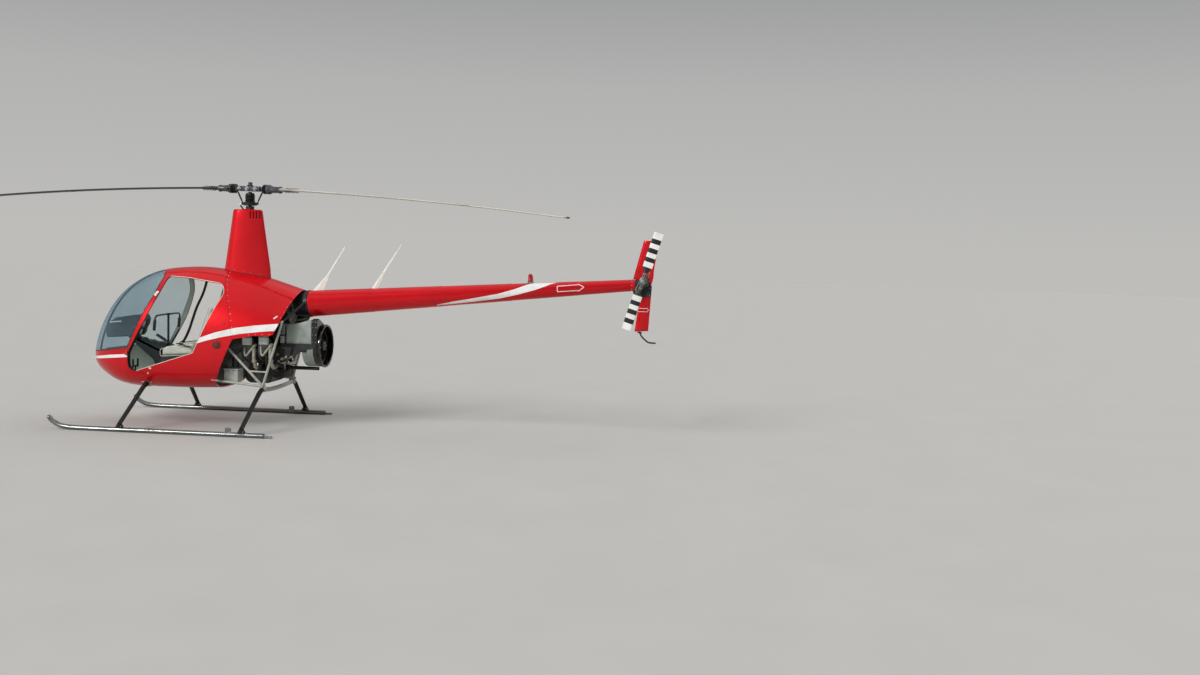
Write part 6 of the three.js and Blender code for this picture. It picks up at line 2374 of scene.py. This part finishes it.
def build_baffles():
    """Black sheets that hold the fan's air against the cylinder fins, joined to the fan duct, and
    black sheets under and beside the duct that are painted shade.
    """
    sheets = Shape()
    for _, side in SIDES:
        for x0, x1, z0, z1 in ((52, 60, 812, 1022), (216, 222, 812, 1022), (402, 408, 812, 1030)):
            outline = rounded([(side * 124, z0, 8), (side * 312, z0 + 16, 30),
                (side * 312, z1, 12), (side * 124, z1, 8)], 6)
            sheets.plate(outline, x0, x1, 1, lambda u, v, w: (w, u, v))
        low, high = sorted((side * 122, side * 316))
        sheets.block((52, low, 1022), (506, high, 1030), 2, 1)
    # A black plate under the duct: painted shade below it
    outline = rounded([(440, 852, 20), (697, 846, 10), (697, 936, 8), (440, 936, 20)], 8)
    sheets.plate(outline, -222, -26, 8)
    sheets.plate(rect(452, 846, 470, 1020, (10, 6, 6, 10), 6), -236, -22, 3)
    # A wide black sheet beside the engine: painted shade under the duct
    wing = rounded([(846, 940, 4), (500, 946, 6), (430, 900, 20), (408, 700, 30), (470, 690, 20),
        (600, 782, 60), (690, 866, 60), (846, 896, 10)], 8)
    sheets.plate(wing, -240, -232, 1)
    sheets.done("engine_baffles_and_shade_sheets", [soot_and_shade_black()])
    unions = Shape()
    for x, z, radius in ((421, 815, 10), (476, 768, 13), (520, 786, 9), (584, 793, 9),
            (436, 740, 9)):
        unions.lathe([(0, radius + 5), (5, radius + 5), (7, radius), (20, radius),
            (22, radius - 3), (22, 0)], (x, -239.5, z), PORT, 16)
        unions.bolt((x, -261, z), PORT, radius * 1.5, 7)
    unions.tube([(436, -256, 734), (462, -262, 724), (500, -262, 724), (524, -258, 732)], 5, 10)
    unions.tube([(520, -256, 786), (552, -262, 778), (584, -256, 793)], 5, 10)
    unions.done("engine_hose_unions", [plated_steel()])


class HELI_OT_engine(Operator):
    """Crankcase, finned cylinders, exhaust, sheaves with their belts, and small parts"""

    bl_idname = "helicopter.engine"
    bl_label = "Engine"

    def execute(self, context):
        build_crankcase()
        for side_name, side in SIDES:
            build_cylinders(side_name, side)
        build_exhaust()
        build_drive()
        build_accessories()
        return {"FINISHED"}


def build_duct():
    duct = Shape()
    corners = [(516, 940, 12), (800, 940, 4), (800, 1206, 10), (640, 1160, 300), (516, 1149, 20)]
    duct.plate(rounded(corners, 8), -238, -22, 7)
    duct.plate(rounded([(446, 938, 8), (496, 938, 8), (496, 1148, 8), (470, 1148, 8)], 4), -238,
        -150, 3)
    for z in (941, 955):
        duct.block((518, -242, z), (806, -236, z + 4), 1, 1)
    duct.block((700, -30, 1060), (760, 40, 1110), 6)
    rows = [(-18, 60), (-18, 215), (-13, 225), (-4, 229.5), (112, 229.5), (112, 219), (10, 219),
        (10, 60)]
    duct.lathe(rows, (701, 0, FAN_Z), AFT, 72, joined=True)
    duct.done("fan_duct", [duct_sheet()], slot="duct_sheet", replaces=["cooling_scroll"])
    scroll = Shape()
    rows = [(0, 219), (0, 229.9), (42, 229.9), (44, 229.4), (44, 219)]
    scroll.lathe(rows, (814, 0, FAN_Z), AFT, 72, joined=True)
    # A black sleeve inside the drum: painted shade deep in the fan's inlet
    scroll.lathe([(0, 216.6), (0, 218.6), (96, 218.6), (96, 216.6)], (714, 0, FAN_Z), AFT, 72,
        joined=True)
    volute = rounded([(-239.6, 904, 4), (-239.6, 1214, 44), (-150, 1214, 120), (70, 1122, 60),
        (40, 1080, 4), (-40, 1110, 4), (-150, 904, 4)], 8)
    scroll.plate(volute, 802, 862, 9, lambda u, v, w: (w, u, v))
    # A black block under the duct: painted shade in the gap between the duct and the drum
    scroll.block((694, -238.8, 846), (742, -90, 934), 6)
    scroll.done("fan_scroll_rear_and_shade_lining", [black_laminate()], slot="black_paint")
    ring = Shape()
    rows = [(0.5, 213), (0.5, 229), (6, 235), (14, 237.7), (27, 237.7), (33, 233), (35.5, 226),
        (34, 219), (28, 213.5), (10, 212.2)]
    ring.lathe(rows, (860, 0, FAN_Z), AFT, 96, joined=True)
    ring.done("fan_inlet_lip", [black_laminate()], slot="black_paint", replaces=["fan_inlet_ring"])
    heads = [((894, y, FAN_Z + z), AFT) for y, z in circle(226, 16)]
    heads += [((x, -238, z), PORT) for x in (534, 600, 672, 738, 788) for z in (972, 1136)]
    heads += [((x, -239.6, z), PORT) for x in (812, 850) for z in (960, 1040, 1120, 1180)]
    studs("fan_duct_screws", heads, plated_steel(), 5.5, 5, 6, 0.9)


def build_fan():
    fan = Shape()
    rows = [(-118, 0), (-118, 204), (-112, 204.5), (-110, 120), (-104, 70), (-60, 58), (-34, 52),
        (-26, 40), (-24, 0)]
    fan.lathe(rows, FAN_CENTRE, AFT, 72)
    for start in turns(VANES):
        rows = []
        for j in range(7):
            radius = 56 + (198 - 56) * j / 6
            turn = start - 0.62 * (j / 6) ** 1.3
            spoke = Vector((0, math.cos(turn), math.sin(turn)))
            across = Vector((0, -math.sin(turn), math.cos(turn)))
            deep = 60 - 10 * j / 6
            rows.append([FAN_CENTRE + spoke * radius + Vector((x, 0, 0)) + across * t
                for x, t in ((-113, -1.4), (-113 + deep, -1.1), (-113 + deep, 1.1), (-113, 1.4))])
        fan.loft(rows)
    fan.lathe([(-70, 176), (-66, 199), (-63, 201), (-60, 199), (-64, 176)], FAN_CENTRE, AFT, 72,
        joined=True)
    # The fan wheel is black satin as painted shade deep inside the inlet
    fan.done("fan_rotor", [black_satin()], "cooling_fan", "cast_alloy", ["fan_wheel"])
    heads = [(FAN_CENTRE + Vector((-31, y, z)), AFT) for y, z in circle(44, 6)]
    heads += [(FAN_CENTRE + Vector((-24, 0, 0)), AFT)]
    studs("fan_rotor_bolts", heads, plated_steel(), 8, 8, 6, 0.9, body="cooling_fan")


class HELI_OT_cooling(Operator):
    """Cooling duct, fan scroll, inlet ring and the fan inside it"""

    bl_idname = "helicopter.cooling"
    bl_label = "Cooling fan"

    def execute(self, context):
        build_duct()
        build_fan()
        return {"FINISHED"}


def build_steel_frame():
    tubes = Shape()
    for _, side in SIDES:
        junction = Vector((340, side * 450, 482))
        diagonal = Vector((-70, side * 452, 900))
        strut = Vector((534, side * 410, 1180))
        lower = Vector((-225, side * 412, 524))
        rear = Vector((CONE_FRONT.x - 16, side * 125, 1400))
        runs = [(lower, junction, 14), (junction, strut, 14), (junction, diagonal, 14),
            (junction.lerp(diagonal, 0.38), junction.lerp(strut, 0.22), 9.8),
            (strut, Vector((120, side * 400, 1090)), 11.2)]
        # The run from the strut back to the tail cone is black as painted shade, in the gap
        # between the cowling and the tail cone
        tubes.using(1).rod(strut, rear, 14, sides=20)
        tubes.using(0)
        for a, b, radius in runs:
            tubes.rod(a, b, radius, sides=20)
        for at in (junction, strut):
            tubes.ball(at, 16.5, 16)
        for a, b, radius in runs[:3] + runs[4:]:
            run = (b - a).normalized()
            tubes.lathe([(0, radius + 0.5), (4, radius + 2.8), (8, radius + 0.4)], a + run * 17,
                run, 18)
        tubes.plate(rounded([(306, 470, 8), (380, 466, 8), (372, 500, 8), (312, 504, 8)], 5),
            side * 450 - 3, side * 450 + 3, 1)
        tubes.rod((-228, side * 479, 533), (-146, side * 472.5, 527), 8, sides=14, chamfer=2)
    tubes.done("welded_tubes", [powder_coat(), black_satin()], slot="frame_paint",
        replaces=["steel_frame"])
    # The hoop and the collar forward of it are black as painted shade, in the dark gap between the
    # cowling and the tail cone
    ring = Shape()
    hoop_rows = [(-150, 112), (-150, 126), (-148, 129), (-9, 140), (-8, 148), (-6, 150), (6, 150),
        (8, 148), (8, 118), (-10, 132)]
    ring.lathe(hoop_rows, CONE_FRONT - CONE_AXIS * 14, CONE_AXIS, 72, joined=True)
    ring.done("tail_cone_ring_and_shade_collar", [black_satin()])


class HELI_OT_steel_frame(Operator):
    """Welded steel tubes round the engine and the ring that carries the tail cone"""

    bl_idname = "helicopter.steel_frame"
    bl_label = "Steel frame"

    def execute(self, context):
        build_steel_frame()
        return {"FINISHED"}


def build_lamps():
    strips = Shape()
    for side in (-1, 1):
        path = [(x, side * (skin_y(x, 476) + 0.5), 476) for x in range(-1045, -910, 15)]
        strips.sweep(path, circle(3.2, 8))
    strips.done("belly_strips", [trim_strip()])
    for side_name, side, name, colour in (("left", -1, "red lens acrylic", "8f0a10"),
            ("right", 1, "green lens acrylic", "0f8a45")):
        y = skin_y(-140, 922)
        Shape().lathe([(-6, 34), (2, 34), (8, 31), (13, 24), (16, 13), (17, 0)],
            (-140, side * y, 922), (0, side, 0), 32).done(f"position_lamp_{side_name}",
            [lens(name, colour)], slot=name.split()[0] + "_lens",
            replaces=[f"nav_light_{side_name}"])
        Shape().lathe([(-6, 34), (3, 44), (6, 42), (7, 34)], (-140, side * y, 922), (0, side, 0),
            32).done(f"position_lamp_rim_{side_name}", [black_satin()])


class HELI_OT_lamps(Operator):
    """Position lamps on the cabin's sides and the thin strips under it"""

    bl_idname = "helicopter.lamps"
    bl_label = "Lamps and strips"

    def execute(self, context):
        build_lamps()
        return {"FINISHED"}


FLOOR_RADIUS = 70.0  # metres


def make_floor():
    disc = bmesh.new()
    bmesh.ops.create_circle(disc, cap_ends=True, segments=96, radius=FLOOR_RADIUS)
    data = released(disc, "studio_floor", Matrix.Identity(4))
    data.materials.append(studio_floor())
    linked("studio_floor", data)


def make_lights(stage):
    for name, place, degrees, power, lights_up, mirrored in (
        # name, place, apparent size, strength, whether it lights surfaces and shows in shiny ones
        ("key_light", (-14.0, -22.0, 20.0), 30.0, stage.key, True, False),
        ("glint_light", (-14.0, -22.0, 12.0), 3.0, stage.glint, False, True),
        ("fill_light", (18.0, 14.0, 24.0), 60.0, stage.fill, True, True),
    ):
        data = bpy.data.lights.new(name, "SUN")
        data.energy = power
        data.angle = math.radians(degrees)
        lamp = linked(name, data)
        lamp.visible_diffuse = lights_up
        lamp.visible_glossy = mirrored
        lamp.location = place
        aim = Vector((0, 0, 1.0)) - Vector(place)
        lamp.rotation_euler = aim.to_track_quat("-Z", "Y").to_euler()
    world = bpy.data.worlds.new("pale_room")
    bpy.context.scene.world = world
    world.use_nodes = True
    tree = world.node_tree
    tree.nodes.clear()
    height = add(tree, "ShaderNodeSeparateXYZ",
        {0: add(tree, "ShaderNodeTexCoord").outputs["Generated"]})
    tones = add(tree, "ShaderNodeValToRGB", {"Fac": height.outputs["Z"]},
        stops=[(0.0, linear("dcdbd8")), (0.12, linear("cfcfce")), (0.3, linear("8f9395")),
        (0.62, linear("a6aaac")), (0.8, linear("ffffff"))])
    glow = add(tree, "ShaderNodeBackground", {"Color": tones.outputs["Color"],
        "Strength": stage.world})
    tree.links.new(glow.outputs["Background"],
        add(tree, "ShaderNodeOutputWorld").inputs["Surface"])


def make_camera(stage):
    yaw, pitch, roll = stage.yaw, stage.pitch, stage.roll
    ahead = Vector((math.sin(yaw) * math.cos(pitch), math.cos(yaw) * math.cos(pitch),
        math.sin(pitch)))
    level = Vector((math.cos(yaw), -math.sin(yaw), 0))
    lift = level.cross(ahead)
    right = level * math.cos(roll) - lift * math.sin(roll)
    up = level * math.sin(roll) + lift * math.cos(roll)
    data = bpy.data.cameras.new("photograph_view")
    data.sensor_width = 36.0
    data.lens = stage.lens
    camera = linked("photograph_view", data)
    turn = Matrix((right, up, -ahead)).transposed()
    camera.matrix_world = Matrix.Translation(stage.camera) @ turn.to_4x4()
    bpy.context.scene.camera = camera


class HELI_OT_stage(Operator):
    """Pale floor, the three lights, the pale room and the camera of the photograph"""

    bl_idname = "helicopter.stage"
    bl_label = "Stage and camera"

    def execute(self, context):
        make_floor()
        make_lights(settings().stage)
        make_camera(settings().stage)
        context.scene.view_settings.view_transform = "Standard"
        return {"FINISHED"}


class HelicopterSettings(PropertyGroup):
    colours: PointerProperty(type=ColourSettings, name="Colours",
        description="Paint, glass and cloth")
    skin: PointerProperty(type=SkinSettings, name="Skin", description="Panels of the fuselage")
    stage: PointerProperty(type=StageSettings, name="Stage",
        description="Camera, lights and floor")


OPERATORS = (HELI_OT_stage, HELI_OT_fuselage, HELI_OT_cabin, HELI_OT_cushions, HELI_OT_mast,
    HELI_OT_main_rotor, HELI_OT_engine, HELI_OT_cooling, HELI_OT_steel_frame, HELI_OT_tail,
    HELI_OT_tail_rotor, HELI_OT_gear, HELI_OT_lamps)


class HELI_PT_panel(Panel):
    """Sizes, colours and the builders of the helicopter"""

    bl_idname = "HELI_PT_panel"
    bl_label = "Helicopter"
    bl_space_type = "VIEW_3D"
    bl_region_type = "UI"
    bl_category = "Helicopter"

    def draw(self, context):
        group = context.scene.helicopter
        for part in group.bl_rna.properties.keys():
            held = getattr(group, part)
            if not isinstance(held, PropertyGroup):
                continue
            box = self.layout.box()
            box.label(text=part.capitalize())
            for name in held.bl_rna.properties.keys():
                if name not in ("rna_type", "name"):
                    box.prop(held, name)
        for operator in OPERATORS:
            self.layout.operator(operator.bl_idname)


CLASSES = (ColourSettings, SkinSettings, StageSettings, HelicopterSettings, *OPERATORS,
    HELI_PT_panel)


def register():
    for made in CLASSES:
        bpy.utils.register_class(made)
    bpy.types.Scene.helicopter = PointerProperty(type=HelicopterSettings)


def unregister():
    del bpy.types.Scene.helicopter
    for made in reversed(CLASSES):
        bpy.utils.unregister_class(made)


def main():
    register()
    for operator in OPERATORS:
        group, name = operator.bl_idname.split(".")
        getattr(getattr(bpy.ops, group), name)()


if __name__ == "__main__":
    main()
